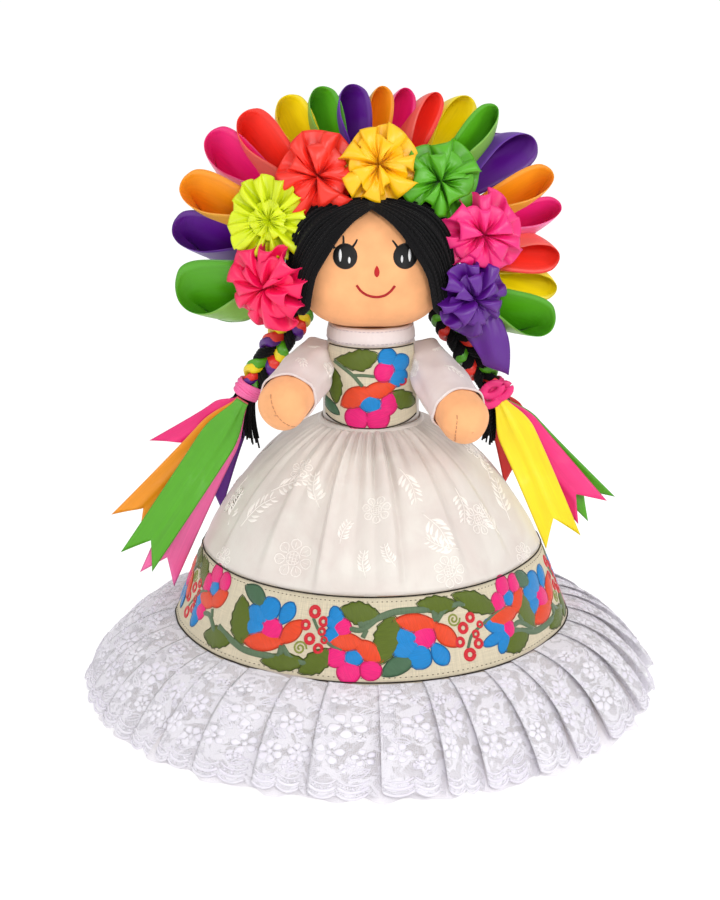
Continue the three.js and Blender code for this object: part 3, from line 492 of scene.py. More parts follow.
floor_look = Look("floor_paper", 0.9, Emission_Color=(1, 1, 1, 1), Emission_Strength=0.76)
floor_tone = floor_look.noise(floor_look.place(3, 3, 3, "object"), 2)
floor_look.colour(floor_look.mix(floor_tone, (0.40, 0.40, 0.40, 1), (0.44, 0.44, 0.44, 1)))
FLOOR_HALF, FLOOR_Z = 40000, -0.4
FLOOR_LINES = [-1, -0.3, 0.3, 1]
floor_shape = grid(lambda u, v: stack(u * FLOOR_HALF, v * FLOOR_HALF, 0 * u + FLOOR_Z),
                   FLOOR_LINES, FLOOR_LINES)
floor = piece("floor", (floor_shape, floor_look.material), None)


# Stitched shapes: closed raised patches and laid threads on a surface given as surface(x, y) in millimetres

def lifted(surface, xy, height):
    x, y = xy[..., 0], xy[..., 1]
    step = 0.15
    p = surface(x, y)
    normal = unit(np.cross(surface(x + step, y) - p, surface(x, y + step) - p))
    return p + normal * np.asarray(height)[..., None]


def leaf(base, tip, width, belly=0.5, blunt=0.75, bend=0.0, teeth=0, steps=17):
    """Outline of a leaf or petal from its base to its tip."""
    base, tip = np.asarray(base, float), np.asarray(tip, float)
    length = np.linalg.norm(tip - base)
    along = (tip - base) / length
    side = np.array([-along[1], along[0]])
    t = np.linspace(0, 1, steps + 1)[:, None]
    half = width / 2 * np.sin(np.pi * t ** (math.log(0.5) / math.log(belly))) ** blunt
    if teeth:
        half = half * (0.88 + 0.24 * ((t * teeth) % 1.0))
    middle = base + along * length * t + side * bend * np.sin(np.pi * t)
    left, right = middle + side * half, middle - side * half
    return np.vstack([base[None], left[1:-1], tip[None], right[-2:0:-1]])


def disc(centre, radius, squeeze=1.0, turn=0.0, steps=28):
    a = np.linspace(0, TAU, steps, endpoint=False)
    x, y = radius * np.cos(a), radius * squeeze * np.sin(a)
    c, s = math.cos(turn), math.sin(turn)
    return np.asarray(centre, float) + np.stack([x * c - y * s, x * s + y * c], -1)


def patch(surface, outline, lift=0.7, base=-0.15, slant=0.0, rings=(1.0, 0.9, 0.66, 0.33)):
    """A pillowed stitched shape with a closed back. Threads run across its long side, turned by slant."""
    outline = np.asarray(outline, float)
    edge = np.roll(outline, -1, 0)
    turn = outline[:, 0] * edge[:, 1] - edge[:, 0] * outline[:, 1]
    if turn.sum() < 0:
        outline = outline[::-1]
    middle = outline.mean(0)
    n = len(outline)
    scale = np.array(rings)[:, None, None]
    flat = middle + (outline - middle) * scale
    flat = np.vstack([flat.reshape(-1, 2), middle[None]])
    rise = base + (lift - base) * np.sqrt(1 - np.array(rings) ** 2)
    height = np.concatenate([np.repeat(rise, n), [lift]])
    points = lifted(surface, flat, height)
    faces = []
    for r in range(len(rings) - 1):
        for i in range(n):
            j = (i + 1) % n
            faces.append([r * n + i, r * n + j, (r + 1) * n + j, (r + 1) * n + i])
    last = (len(rings) - 1) * n
    for i in range(n):
        faces.append([last + i, last + (i + 1) % n, len(points) - 1])
    faces.append(list(range(n))[::-1])
    spread = outline - middle
    long_side = spread[np.argmax((spread ** 2).sum(1))]
    a = math.atan2(long_side[1], long_side[0]) + slant
    c, s = math.cos(a), math.sin(a)
    local = flat - middle
    uv = np.stack([local[:, 0] * c + local[:, 1] * s, local[:, 1] * c - local[:, 0] * s], -1)
    corners = np.vstack([uv[face] for face in faces])
    return points, faces, corners * MM


def laid(surface, points, width, lift=0.5, base=-0.15, step=1.3, taper=0.0, smooth_line=True):
    """A thread or cord laid along a line on a surface."""
    line = np.asarray(points, float)
    length = run_of(line)
    count = max(4, int(length / step) + 1)
    if smooth_line:
        line = spline(line, count)
    n = len(line)
    along = unit(np.gradient(line, axis=0))
    side = np.stack([-along[:, 1], along[:, 0]], -1)
    share = np.linspace(0, 1, n)
    half = width / 2 * (1 - taper * share)
    profile = [(1, base), (0.72, 0.72 * lift), (0, lift), (-0.72, 0.72 * lift), (-1, base)]
    rows = [lifted(surface, line + side * (half * w)[:, None], np.full(n, h)) for w, h in profile]
    points3 = np.stack(rows, 1).reshape(-1, 3)
    k = len(profile)
    run = np.linspace(0, length, n)
    faces, uv = [], []
    for i in range(n - 1):
        for j in range(k):
            m = (j + 1) % k
            faces.append([i * k + j, i * k + m, (i + 1) * k + m, (i + 1) * k + j][::-1])
            uv.extend([(run[i + 1], j), (run[i + 1], j + 1), (run[i], j + 1), (run[i], j)])
    faces.append(list(range(k)))
    faces.append([(n - 1) * k + j for j in range(k)][::-1])
    uv.extend([(0, 0)] * (2 * k))
    return points3, faces, np.array(uv, float) * MM


def outlined(surface, outline, width, lift, base=-0.15):
    """A thread laid round a closed outline."""
    return laid(surface, np.vstack([outline, outline[:1]]), width, lift, base, smooth_line=False)


def ring(surface, centre, radius, width, lift=0.5):
    a = np.linspace(0, TAU, 17)
    line = np.asarray(centre, float) + radius * np.stack([np.cos(a), np.sin(a)], -1)
    return laid(surface, line, width, lift, smooth_line=False)


def stitches(surface, points, length, gap, width, lift=0.35):
    """A row of short stitches along a line."""
    line = np.asarray(points, float)
    total = run_of(line)
    count = max(8, int(total * 2))
    line = spline(line, count) if len(line) > 2 else np.linspace(line[0], line[1], count)
    run = runs_along(line)
    shapes = []
    at = 0.0
    while at + length < total:
        ends = [[np.interp(s, run, line[:, k]) for k in (0, 1)] for s in (at, at + length / 2, at + length)]
        shapes.append(laid(surface, ends, width, lift, step=length / 3))
        at += length + gap
    return shapes


# Torso, blouse and bodice

TORSO = np.array([(158, 17.7, 17.7), (162.2, 26, 26), (170.6, 29.5, 29.5), (179, 29.5, 29.5),
                  (194.6, 28.5, 25.65), (210.2, 27.5, 24.75), (223.2, 26.95, 24.3), (231, 26.1, 23.5),
                  (232.8, 25, 22.5), (241.8, 23.8, 21.4)])


def torso_at(angle, z, out=0.0):
    """A point round the torso, angle 0 in front and growing to the doll's left."""
    hx, hy = np.interp(z, TORSO[:, 0], TORSO[:, 1]), np.interp(z, TORSO[:, 0], TORSO[:, 2])
    return stack((hx + out) * np.sin(angle), -(hy + out) * np.cos(angle), z)


def closed_ends(shape, rows):
    """Close the first and last ring of a wrapped grid with rows points on each line."""
    points, faces, uvs = shape
    sides = len(points) // rows
    first, last = [i * rows for i in range(sides)], [i * rows + rows - 1 for i in range(sides)]
    faces = faces + [first, last[::-1]]
    return points, faces, np.vstack([uvs, points[first][:, :2] * MM, points[last][:, :2] * MM])


AROUND = np.linspace(-math.pi, math.pi, 97)
torso_rows = np.concatenate([[158, 159.5, 162.2, 166, 170.6], np.linspace(176, 241.8, 16)])
torso_shape = closed_ends(grid(torso_at, AROUND, torso_rows, True,
                               lambda a, z: (a * 28, z)), len(torso_rows))
torso = piece("torso_cloth", (torso_shape, skin), "torso", ["torso"])


def blouse_at(a, z):
    fold = 0.5 * np.sin(14 * a + 0.12 * z) * smooth(z, 181, 195) * (1 - smooth(z, 218, 230))
    return torso_at(a, z, 1.2 + fold)


blouse_shape = grid(blouse_at, AROUND, np.linspace(180.6, 231.5, 17), True, lambda a, z: (a * 28, z))
blouse = piece("blouse_cloth", (blouse_shape, white_cloth), "torso", ["blouse"], thick=0.6)
sheet()


COLLAR_LOW, COLLAR_HIGH = 229.6, 241.6
COLLAR_ROUND, COLLAR_TALL = 26, 12


def collar_at(a, share):
    z = lerp(COLLAR_LOW, COLLAR_HIGH, share)
    out = 2.2 + 0.9 * np.sin(np.pi * share) - 1.2 * smooth(share, 0.88, 1.0)
    pucker = 0.22 * np.sin(40 * a) * np.sin(np.pi * share) + 0.35 * np.sin(7 * a + 1)
    return torso_at(a, np.maximum(z, 232.8), out + pucker) * [1, 1, 0] + stack(0 * a, 0 * a, z)


collar_shape = grid(collar_at, AROUND, np.linspace(0, 1, 13), True,
                    lambda a, s: (a * COLLAR_ROUND, s * COLLAR_TALL))
collar = piece("collar_cloth", (collar_shape, rosy_cloth), "torso", ["collar"], thick=0.7,
               out=-1.0)


def collar_flat(x, y):
    return collar_at(x / COLLAR_ROUND, y / COLLAR_TALL)


collar_lines = [stitches(collar_flat, [(-78, y), (0, y), (78, y)], 1.5, 1.2, 0.4) for y in (2.6, 10.2)]
collar_seams = piece("collar_stitches", (join(sum(collar_lines, [])), collar_thread), "torso")
sheet()

PANEL_HALF, PANEL_ROUND = math.radians(64), 31.5
PANEL_LOW, PANEL_HIGH, PANEL_RISE = 179.6, 230.8, 6.0


def panel_at(a, z):
    low = PANEL_LOW + PANEL_RISE * (a / PANEL_HALF) ** 2
    height = lerp(low, PANEL_HIGH, (z - PANEL_LOW) / (PANEL_HIGH - PANEL_LOW))
    return torso_at(a, height, 3.4 + 0.25 * np.sin(5 * a + z * 0.2))


def panel_flat(x, z):
    """Front of the bodice by its width and height as seen from the front."""
    a = np.arcsin(np.clip(x / PANEL_ROUND, -0.9, 0.9))
    return panel_at(a, z)


panel_shape = grid(panel_at, np.linspace(-PANEL_HALF, PANEL_HALF, 41),
                   np.linspace(PANEL_LOW, PANEL_HIGH, 21), False, lambda a, z: (a * 29, z))
panel = piece("bodice_panel_cloth", (panel_shape, linen_cloth), "torso", ["bodice_panel"],
              thick=0.7, out=-1.0)


BODICE_MIDDLE, BODICE_TOP = 617, 246
BODICE_SCALE = 0.0715
BODICE_FULL = 1.06


def bodice_spot(x, y):
    """A place on the bodice counted from the drawing of its flowers."""
    return (x - BODICE_MIDDLE) * BODICE_SCALE, PANEL_HIGH - (y - BODICE_TOP) * BODICE_SCALE


def bodice_leaf(base, tip, width, **shape):
    return leaf(bodice_spot(*base), bodice_spot(*tip), width * BODICE_SCALE * BODICE_FULL, **shape)


def bodice_disc(centre, radius, squeeze=1.0, turn=0.0):
    return disc(bodice_spot(*centre), radius * BODICE_SCALE * BODICE_FULL, squeeze, turn)


def bodice_stem(*spots, width):
    return laid(panel_flat, [bodice_spot(*s) for s in spots], width, 0.5)


def sewn(outlines, surface, colour, lift=0.75, slant=0.5):
    """Stitched shapes of one colour, each with a darker thread round it: painted shade for the crease where
    the stitches dip at its edge.
    """
    bodies = [patch(surface, outline, lift, slant=slant) for outline in outlines]
    edges = [outlined(surface, outline, 0.65, lift * 0.45) for outline in outlines]
    return [(join(bodies), stitch_look[colour]), (join(edges), crease_shade_and_vein_look[colour])]


bodice_parts = [
    (bodice_stem((285, 400), (440, 490), (540, 590), width=2.6), stitch_look["stem"]),
    (bodice_stem((440, 500), (540, 492), (650, 500), width=2.2), stitch_look["stem"]),
    (ring(panel_flat, bodice_spot(895, 580), 2.0, 1.5), stitch_look["berry"]),
]
for colour, lift, outlines in (
        ("olive", 0.75, [bodice_leaf((285, 385), (690, 305), 175, belly=0.55, teeth=5, bend=-1.5),
                         bodice_leaf((272, 460), (312, 800), 130, belly=0.45, teeth=4),
                         bodice_leaf((790, 650), (1000, 850), 140, belly=0.45, teeth=3)]),
        ("leaf", 0.75, [bodice_leaf((165, 800), (350, 880), 100)]),
        ("blue", 0.75, [bodice_disc((762, 340), 82), bodice_disc((878, 400), 78),
                        bodice_disc((850, 530), 82)]),
        ("magenta", 1.1, [bodice_disc((732, 465), 86)]),
        ("vermilion", 0.9, [bodice_leaf((640, 610), (355, 800), 165, belly=0.5, bend=-1.5),
                            bodice_leaf((540, 650), (850, 590), 140, belly=0.45)]),
        ("blue", 0.95, [bodice_disc((607, 742), 96, 0.72, -0.2)]),
        ("magenta", 0.8, [bodice_disc((772, 755), 98, 0.78, 1.2), bodice_disc((672, 872), 96),
                          bodice_disc((492, 876), 94)])):
    bodice_parts += sewn(outlines, panel_flat, colour, lift)
bodice_flowers = piece("bodice_flowers", bodice_parts, "torso")
edge_lines = [laid(panel_flat, [(-27.5, z), (-14, z), (0, z), (14, z), (27.5, z)], 0.9, 0.6)
              for z in (PANEL_LOW + 0.6, PANEL_HIGH - 0.6)]
bodice_edges = piece("bodice_piping", (join(edge_lines), piping), "torso")
sheet()


# Skirt, trim and lace, angle 0 in front and growing to the doll's left

SKIRT = np.array([(30.3, 179), (75.5, 162.5), (108, 98)], float)
TRIM_TOP, TRIM_BOTTOM, TRIM_SLANT = np.array([108.0, 98.0]), np.array([127.0, 50.0]), 51.6
LACE = np.array([(127, 50), (166.6, 44), (187, 3.2)], float)


def turned(angle, rz):
    return stack(rz[..., 0] * np.sin(angle), -rz[..., 0] * np.cos(angle), rz[..., 1])


def outward(curve, t):
    step = 0.01
    d = bezier(curve, np.clip(t + step, 0, 1)) - bezier(curve, np.clip(t - step, 0, 1))
    return unit(np.stack([-d[..., 1], d[..., 0]], -1))


def hang(angle):
    """The slow in and out of the hanging cloth round the skirt."""
    return 1.1 * np.sin(5 * angle + 0.6) + 0.7 * np.sin(9 * angle + 2.0)


def skirt_at(angle, t):
    """The skirt: deep gathers that fan out below the front of the waist, small ones round the rest of it."""
    bunch = np.exp(-(angle / 0.75) ** 2)
    lines = 17 * angle + 1.1 * np.sin(2.6 * angle + 0.6) + 0.5 * np.sin(7 * angle + 1)
    ridge = np.sqrt(np.cos(lines) ** 2 + 0.03)
    pleat = np.abs(lines + 0.6 * np.sin(3 * angle) + 1.2) / TAU
    pleat = pleat - np.floor(pleat)
    tuck = np.where(pleat < 0.84, (pleat / 0.84) ** 1.4, 1 - smooth(pleat, 0.84, 1.0))
    small = np.sqrt(np.cos(2 * lines + 0.7 + 1.5 * np.sin(5 * angle)) ** 2 + 0.05)
    uneven = 0.8 + 0.3 * np.sin(9.3 * angle + 0.5)
    start = smooth(t, 0.0, 0.09)
    end = 1 - 0.85 * smooth(t, 0.88, 1.0)
    long_fold = 6.0 * (ridge - 0.6) * start * (1 - 0.75 * smooth(t, 0.25, 0.7)) * uneven
    wide_fold = 5.0 * (tuck - 0.45) * smooth(t, 0.08, 0.4) * (0.8 + 0.3 * np.sin(4 * angle + 2.2))
    short_fold = 1.7 * (small - 0.55) * start * (1 - smooth(t, 0.08, 0.45))
    lower = long_fold * (0.1 + 0.9 * bunch) + wide_fold * (0.4 + 0.6 * bunch)
    gather = lower * end + short_fold * (0.4 + 0.6 * bunch)
    rz = bezier(SKIRT, t)
    off = 0.6 + gather + hang(angle) * smooth(t, 0.2, 1.0)
    return turned(angle, rz + outward(SKIRT, t) * off[..., None])


ROUND = np.linspace(-math.pi, math.pi, 577)
skirt_shape = grid(skirt_at, ROUND, np.linspace(0, 1, 52), True, lambda a, t: (a * 75, t * 118))
skirt = piece("skirt_cloth", (skirt_shape, white_cloth), "torso", ["skirt"], thick=0.7, out=1.0)
SKIRT_SHARES = np.linspace(0, 1, 101)
SKIRT_RUN = runs_along(bezier(SKIRT, SKIRT_SHARES))


def on_skirt(angle, down):
    """A flat patch of the skirt round a place: x to the doll's left, y up, in millimetres."""
    def surface(x, y):
        t = np.interp(down - y, SKIRT_RUN, SKIRT_SHARES)
        return skirt_at(angle + x / np.interp(t, (0, 0.5, 1), (34, 74, 108)), t)
    return surface


def woven_flower(surface, size, turn, petals=7):
    """A brocade flower: outlined petals round a checked middle."""
    shapes = []
    for d in ways_round(petals, turn):
        outline = leaf(d * size * 0.42, d * size, size * 0.52, belly=0.6, blunt=0.55, steps=7)
        shapes.append(outlined(surface, outline, 0.75, 0.22))
        shapes.append(laid(surface, [d * size * 0.5, d * size * 0.7, d * size * 0.86], 0.55, 0.2))
    shapes.append(ring(surface, (0, 0), size * 0.36, 0.7, 0.22))
    for k in range(-1, 2):
        reach = size * (0.34 if k == 0 else 0.28)
        aside = k * size * 0.17
        shapes.append(laid(surface, [(-reach, aside), (0, aside), (reach, aside)], 0.5, 0.2))
        shapes.append(laid(surface, [(aside, -reach), (aside, 0), (aside, reach)], 0.5, 0.2))
    return shapes


def woven_fern(surface, size, turn, pairs=5):
    """A brocade spray: a bent rib with paired slender leaflets."""
    spin = turning(turn)
    rib = [np.array([0, 0]), np.array([size * 0.5, size * 0.12]), np.array([size, size * 0.05])]
    shapes = [laid(surface, [spin @ p for p in rib], 0.8, 0.24)]
    for k in range(pairs):
        at = spline(rib, 21)[4 + int(16 * k / pairs)]
        reach = size * 0.36 * (1 - 0.4 * k / pairs)
        for side in (1, -1):
            tip = at + np.array([0.7, 0.7 * side]) * reach
            outline = leaf(spin @ at, spin @ tip, reach * 0.26, belly=0.6, bend=0.6 * side, steps=7)
            shapes.append(patch(surface, outline, 0.24, rings=(1.0, 0.75, 0.35)))
    return shapes


woven = []
SPRAYS = ((-58, 88, 30, 1.0), (-52, 60, 26, 0.5), (-24, 62, 24, 1.9), (-2, 104, 17, 1.57),
          (16, 34, 26, 4.9), (22, 66, 28, 5.1), (33, 92, 22, 2.6), (44, 54, 24, 4.4),
          (57, 92, 24, 1.8), (-12, 84, 16, 1.2), (8, 98, 15, 1.9))
BLOOMS = ((-29, 96, 12), (-42, 40, 8), (2, 62, 8.5), (27, 104, 10), (48, 78, 10), (-60, 112, 9))
for middle in (0, 125, 235):
    for degree, down, size, turn in SPRAYS:
        woven += woven_fern(on_skirt(math.radians(middle + degree), down), size, turn, 6)
    for degree, down, size in BLOOMS:
        woven += woven_flower(on_skirt(math.radians(middle + degree), down), size, 0.1 * degree)
brocade_leaves = piece("skirt_woven_leaves", (join(woven), silk), "torso")


def waist_at(a, share):
    return torso_at(a, lerp(176.5, 180.6, share), 2.2 + 2.2 * np.sin(np.pi * share) + 0.25 * np.sin(46 * a))


waist_shape = grid(waist_at, AROUND, np.linspace(0, 1, 7), True, lambda a, s: (a * 31, s * 6))
waistband = piece("skirt_waistband", (waist_shape, white_cloth), "torso", thick=0.6)
SKIRT_HEM, SKIRT_WAIST = TAU * SKIRT[2, 0], TAU * SKIRT[0, 0]
SKIRT_AREA = SKIRT_RUN[-1] * (SKIRT_WAIST * WAIST_FULLNESS + SKIRT_HEM) / 2
sheet(SKIRT_AREA)
sheet()

TRIM_MM_PER_DEGREE = 2.05


def trim_at(angle, h):
    share = np.asarray(h, float)[..., None] / TRIM_SLANT
    rz = lerp(TRIM_BOTTOM, TRIM_TOP, share)
    away = unit(np.array([48.0, 19.0]))
    return turned(angle, rz + away * (0.7 + hang(angle) + 0.3 * waves(angle, 5, 20, 40))[..., None])


def trim_flat(x, h):
    return trim_at(np.radians(x / TRIM_MM_PER_DEGREE), h)


trim_shape = grid(trim_at, np.linspace(-math.pi, math.pi, 289), np.linspace(-0.8, TRIM_SLANT, 15), True,
                  lambda a, h: (a * 117.5, h))
trim = piece("trim_cloth", (trim_shape, linen_cloth), "torso", ["trim_band"], thick=0.8,
             out=-1.0)


def vine(middle, mirrored, spread=0.0):
    """One length of the flowering vine, middle in degrees. Its second flower stands off by spread."""
    def spot(q, h):
        degrees = middle + q + spread * smooth(q, 15, 21)
        return degrees * TRIM_MM_PER_DEGREE, TRIM_SLANT - h if mirrored else h

    def petal(base, tip, width, **shape):
        return leaf(spot(*base), spot(*tip), width, **shape)

    def round_one(centre, radius, squeeze=1.0, turn=0.0):
        return disc(spot(*centre), radius, squeeze, -turn if mirrored else turn)

    def stem(width, *spots):
        return laid(trim_flat, [spot(*s) for s in spots], width, 0.55)

    def made(colour, outlines, lift=0.8, slant=0.5):
        parts.extend(sewn(outlines, trim_flat, colour, lift, slant))

    parts = []
    stems = [stem(4.6, (-20, 17), (-15, 13.5), (-8.5, 9.5), (0, 9.5), (3, 10), (3.7, 17.3)),
             stem(3.8, (3.7, 17.3), (6.9, 11.1), (11.1, 9.2), (14, 10)),
             stem(2.2, (12.4, 36.5), (15, 28.5), (18.3, 22), (22, 19)),
             stem(3.6, (23.4, 32.3), (27.8, 31.8), (33, 39.8)), stem(3.2, (27.9, 27), (29, 31.8))]
    parts.append((join(stems), stitch_look["stem"]))
    made("olive", [petal((-9.2, 11.5), (-13.8, 41), 17, belly=0.42, teeth=6),
                   petal((-13, 12.4), (-26, 8), 13.5, teeth=5),
                   petal((12, 10), (-2.3, 5.6), 11, teeth=5), petal((20, 19), (9.8, 2.8), 13, teeth=5)])
    ribs = [stem(1.2, (-9.8, 14.5), (-11.6, 24), (-13.2, 35)),
            stem(1.1, (-15, 12.2), (-19, 11), (-23.5, 9.5)),
            stem(1.0, (10, 9.7), (5, 8), (0.5, 6.6)), stem(1.0, (18.7, 16.8), (15, 11), (11.5, 5.2))]
    parts.append((join(ribs), crease_shade_and_vein_look["olive"]))
    made("leaf", [petal((-3.6, 38), (-13.6, 47), 11, bend=-1.2)])
    made("blue", [petal((-1.0, 28), (-3.8, 44.5), 15.5, belly=0.62, blunt=0.55),
                  petal((1.4, 29), (5.4, 44), 10.5, belly=0.6, blunt=0.6),
                  petal((-2.0, 29), (-10.2, 34.5), 12, belly=0.62, blunt=0.58),
                  petal((-1.6, 26), (-10.8, 24), 11, belly=0.62, blunt=0.6)])
    made("magenta", [round_one((-0.5, 25.5), 7.2)], 1.0)
    made("vermilion", [petal((4.6, 20), (-9.6, 14.5), 11.5, belly=0.5),
                       petal((2.6, 18.5), (9.4, 34.5), 11, belly=0.5)], 0.95)
    turns = np.linspace(0, 1.75 * TAU, 26)
    curl = [spot(9.3 + 4.4 * (1 - a / 13) * math.cos(a) / TRIM_MM_PER_DEGREE,
                 17.7 + 4.4 * (1 - a / 13) * math.sin(a)) for a in turns]
    parts.append((laid(trim_flat, curl, 1.3, 0.45), stitch_look["tendril"]))
    berries = ((12.7, 40.5, 3.9), (15.8, 35.2, 3.1), (10.2, 32, 3.2), (15.6, 29.2, 2.6),
               (12, 24, 3.5), (16.6, 24.2, 2.3), (15, 18.7, 3.2))
    rings = [ring(trim_flat, spot(q, h), r * 0.74, r * 0.76, 0.7) for q, h, r in berries]
    parts.append((join(rings), stitch_look["berry"]))
    made("blue", [petal((21.2, 31), (18.6, 45), 9.5, blunt=0.5),
                  petal((20.8, 33), (16.4, 37), 7.5, blunt=0.5),
                  petal((21.2, 33), (17.2, 23.5), 9.5, blunt=0.5)])
    made("magenta", [round_one((21.8, 32.4), 5.8)], 1.0)
    made("magenta", [round_one((24.2, 6.4), 6.9), round_one((30.2, 7.8), 6.3),
                     round_one((20.4, 14.8), 6.4)])
    made("blue", [round_one((25.5, 14.8), 5.6, 0.85)], 0.95)
    made("vermilion", [petal((28.6, 23.5), (17.4, 25), 11, belly=0.5),
                       petal((25.4, 25), (33.6, 13), 11.5, belly=0.5)], 0.95)
    return parts


vines = []
for k, middle in enumerate((-30.5, 16.0, 66.5, 108.4, 150.3, 192.2, 234.1, 276.0)):
    vines += vine(middle, k % 2 == 1, 7.0 if k == 1 else 0.0)
vine_work = piece("trim_flowers", vines, "torso")
FULL = np.arange(-180, 181, 2.0) * TRIM_MM_PER_DEGREE
trim_cords = [laid(trim_flat, np.stack([FULL, np.full(len(FULL), h)], -1), 1.0, 0.7, smooth_line=False)
              for h in (0.2, TRIM_SLANT - 0.6)]
trim_piping = piece("trim_piping", (join(trim_cords), piping), "torso")
dots = []
for h in (3.0, TRIM_SLANT - 3.4):
    for degree in np.arange(-180, 180, 1.5):
        x = degree * TRIM_MM_PER_DEGREE
        dots.append(laid(trim_flat, [(x, h), (x + 0.45, h), (x + 0.9, h)], 0.55, 0.3, step=0.4))
trim_dots = piece("trim_stitches", (join(dots), stitch_dark), "torso")
sheet()

PLEATS = 33
PLEAT = TAU / PLEATS
LACE_CLOTH = 1480.0
LACE_PLEAT = LACE_CLOTH / PLEATS
LACE_DROP = 86.0


def lace_at(c, t):
    """The lace by its place along the strip and its share from the trim to the hem, laid in knife pleats."""
    rz = bezier(LACE, t)
    under = np.maximum((LACE_PLEAT / (rz[..., 0] * PLEAT) - 1) / 2, 0.05)
    whole = 1 + 2 * under
    k = np.floor(c / LACE_PLEAT)
    f = c / LACE_PLEAT - k
    turn_back = (1 + under) / whole
    ahead = f < turn_back
    forward = np.where(ahead, f * whole, (1 + under) - (f - turn_back) * whole)
    depth = lerp(0.7, 3.4, smooth(t, 0, 0.8))
    share = np.where(ahead, f / turn_back, 1 - (f - turn_back) / (1 - turn_back))
    inward = 2 * depth * np.where(ahead, share ** 1.6, share)
    belly = np.where(ahead, 0.9 * smooth(t, 0.1, 0.9) * np.sin(np.pi * np.clip(share, 0, 1)), 0)
    angle = (k + forward) * PLEAT
    angle = angle + 0.035 * np.sin(5 * angle + 1) + 0.02 * np.sin(12 * angle)
    sway = 1.6 * smooth(t, 0.3, 1) * np.sin(4 * angle + 1)
    raised = 2.4 * smooth(t, 0.6, 1.0) * (0.5 + 0.5 * np.sin(9 * angle + 2 * np.sin(4 * angle)))
    off = belly + 0.6 + sway - inward
    return turned(angle, rz + outward(LACE, t) * off[..., None]) + stack(0, 0, raised)


def lace_columns():
    """Lines along the strip, close together at the folds."""
    one = np.concatenate([np.linspace(0, 0.58, 16), np.linspace(0.62, 0.9, 14),
                          np.linspace(0.92, 0.985, 5)])
    return np.concatenate([(k + one) * LACE_PLEAT for k in range(PLEATS)] + [[LACE_CLOTH - 1e-6]])


SCALLOP = LACE_PLEAT / 3


def lace_hem(c):
    """Length of the lace at a place along the strip: it ends in scallops."""
    return LACE_DROP - 4.5 * (1 - np.sqrt(np.abs(np.sin(np.pi * c / SCALLOP)) + 0.02))


lace_shape = grid(lambda c, t: lace_at(c, t * lace_hem(c) / LACE_DROP), lace_columns(),
                  np.linspace(0, 1, 24), False, lambda c, t: (c, t * LACE_DROP))
lace = piece("lace_cloth", (lace_shape, lace_net), "torso", ["lace_ruffle"])


def on_lace(c, down):
    def surface(x, y):
        return lace_at(c + x, np.clip((down - y) / LACE_DROP, 0, 1))
    return surface


def lace_flower(surface, size, turn, petals=7):
    """A lace flower: full petals round a raised middle."""
    shapes = []
    for d in ways_round(petals, turn):
        outline = leaf(d * size * 0.22, d * size, size * 0.66, belly=0.6, blunt=0.6, steps=7)
        shapes.append(patch(surface, outline, 0.4, base=-0.1, rings=(1.0, 0.7, 0.35)))
    shapes.append(patch(surface, disc((0, 0), size * 0.2, steps=10), 0.6, base=-0.1, rings=(1.0, 0.6)))
    return shapes


def lace_sprig(surface, size, turn, count=4):
    """A lace sprig: a bent rib with paired leaves."""
    spin = turning(turn)
    rib = spline([(0, 0), (size * 0.5, size * 0.16), (size, 0)], 9)
    shapes = [laid(surface, (spin @ rib.T).T, size * 0.07, 0.35, base=-0.1)]
    for k in range(count):
        at = rib[1 + int(7 * k / count)]
        for side in (1, -1):
            tip = at + np.array([0.5, 0.85 * side]) * size * (0.42 - 0.05 * k)
            outline = leaf(spin @ at, spin @ tip, size * 0.2, steps=5)
            shapes.append(patch(surface, outline, 0.35, base=-0.1, rings=(1.0, 0.6)))
    return shapes


def lace_leaf(surface, base, tip, width):
    """A big lace leaf: an outline and a rib over the open net."""
    outline = leaf(base, tip, width, belly=0.5, steps=9)
    middle = (np.asarray(base) + np.asarray(tip)) / 2
    return [outlined(surface, outline, 0.9, 0.4, base=-0.1),
            laid(surface, [base, middle, tip], 0.7, 0.35, base=-0.1)]


lace_work = []
for k in range(PLEATS):
    start = k * LACE_PLEAT
    draw = np.random.default_rng(900 + k)
    for x, down, size in ((8, 17, 6.5), (16, 40, 9.0), (8, 60, 7.5), (24, 62, 7.0)):
        at = on_lace(start + x + draw.uniform(-2, 2), down + draw.uniform(-3, 3))
        lace_work += lace_flower(at, size * draw.uniform(0.85, 1.15), draw.uniform(0, TAU), 5 + k % 2)
    for x, down, size, turn in ((15, 22, 9, 0.5), (5, 46, 9, 1.9), (25, 50, 9, 2.6), (15, 70, 9, 0.4),
                                (5, 30, 8, 2.4)):
        lace_work += lace_sprig(on_lace(start + x, down), size * draw.uniform(0.8, 1.2),
                                turn + draw.uniform(-0.6, 0.6))
    for x, down, dx, dy in ((20, 30, 8, 7), (14, 52, -9, 4), (20, 74, 9, 6)):
        lace_work += lace_leaf(on_lace(start + x, down), (0, 0), (dx, dy + draw.uniform(-2, 2)), 4.5)
for k in range(PLEATS * 3):
    if k % 3 == 2:
        continue
    begin = k * SCALLOP
    for rise, width in ((0.9, 1.5), (4.4, 1.9), (8.4, 1.2)):
        arc = [(SCALLOP * q, LACE_DROP - lace_hem(SCALLOP * q) + rise) for q in np.linspace(0.03, 0.97, 11)]
        lace_work.append(laid(on_lace(begin, LACE_DROP), arc, width, 0.6, base=-0.1))
    for q in (0.22, 0.5, 0.78):
        spot = (SCALLOP * q, LACE_DROP - lace_hem(SCALLOP * q) + 6.4)
        lace_work.append(patch(on_lace(begin, LACE_DROP), disc(spot, 0.9, steps=8), 0.4, base=-0.1,
                               rings=(1.0, 0.6)))
lace_flowers = piece("lace_flowers", (join(lace_work), lace_thread), "torso")
sheet()

LINING = np.array([(120.5, 52.5), (159.0, 40), (186.0, 1.2)], float)
LINING_DROP = 84.0


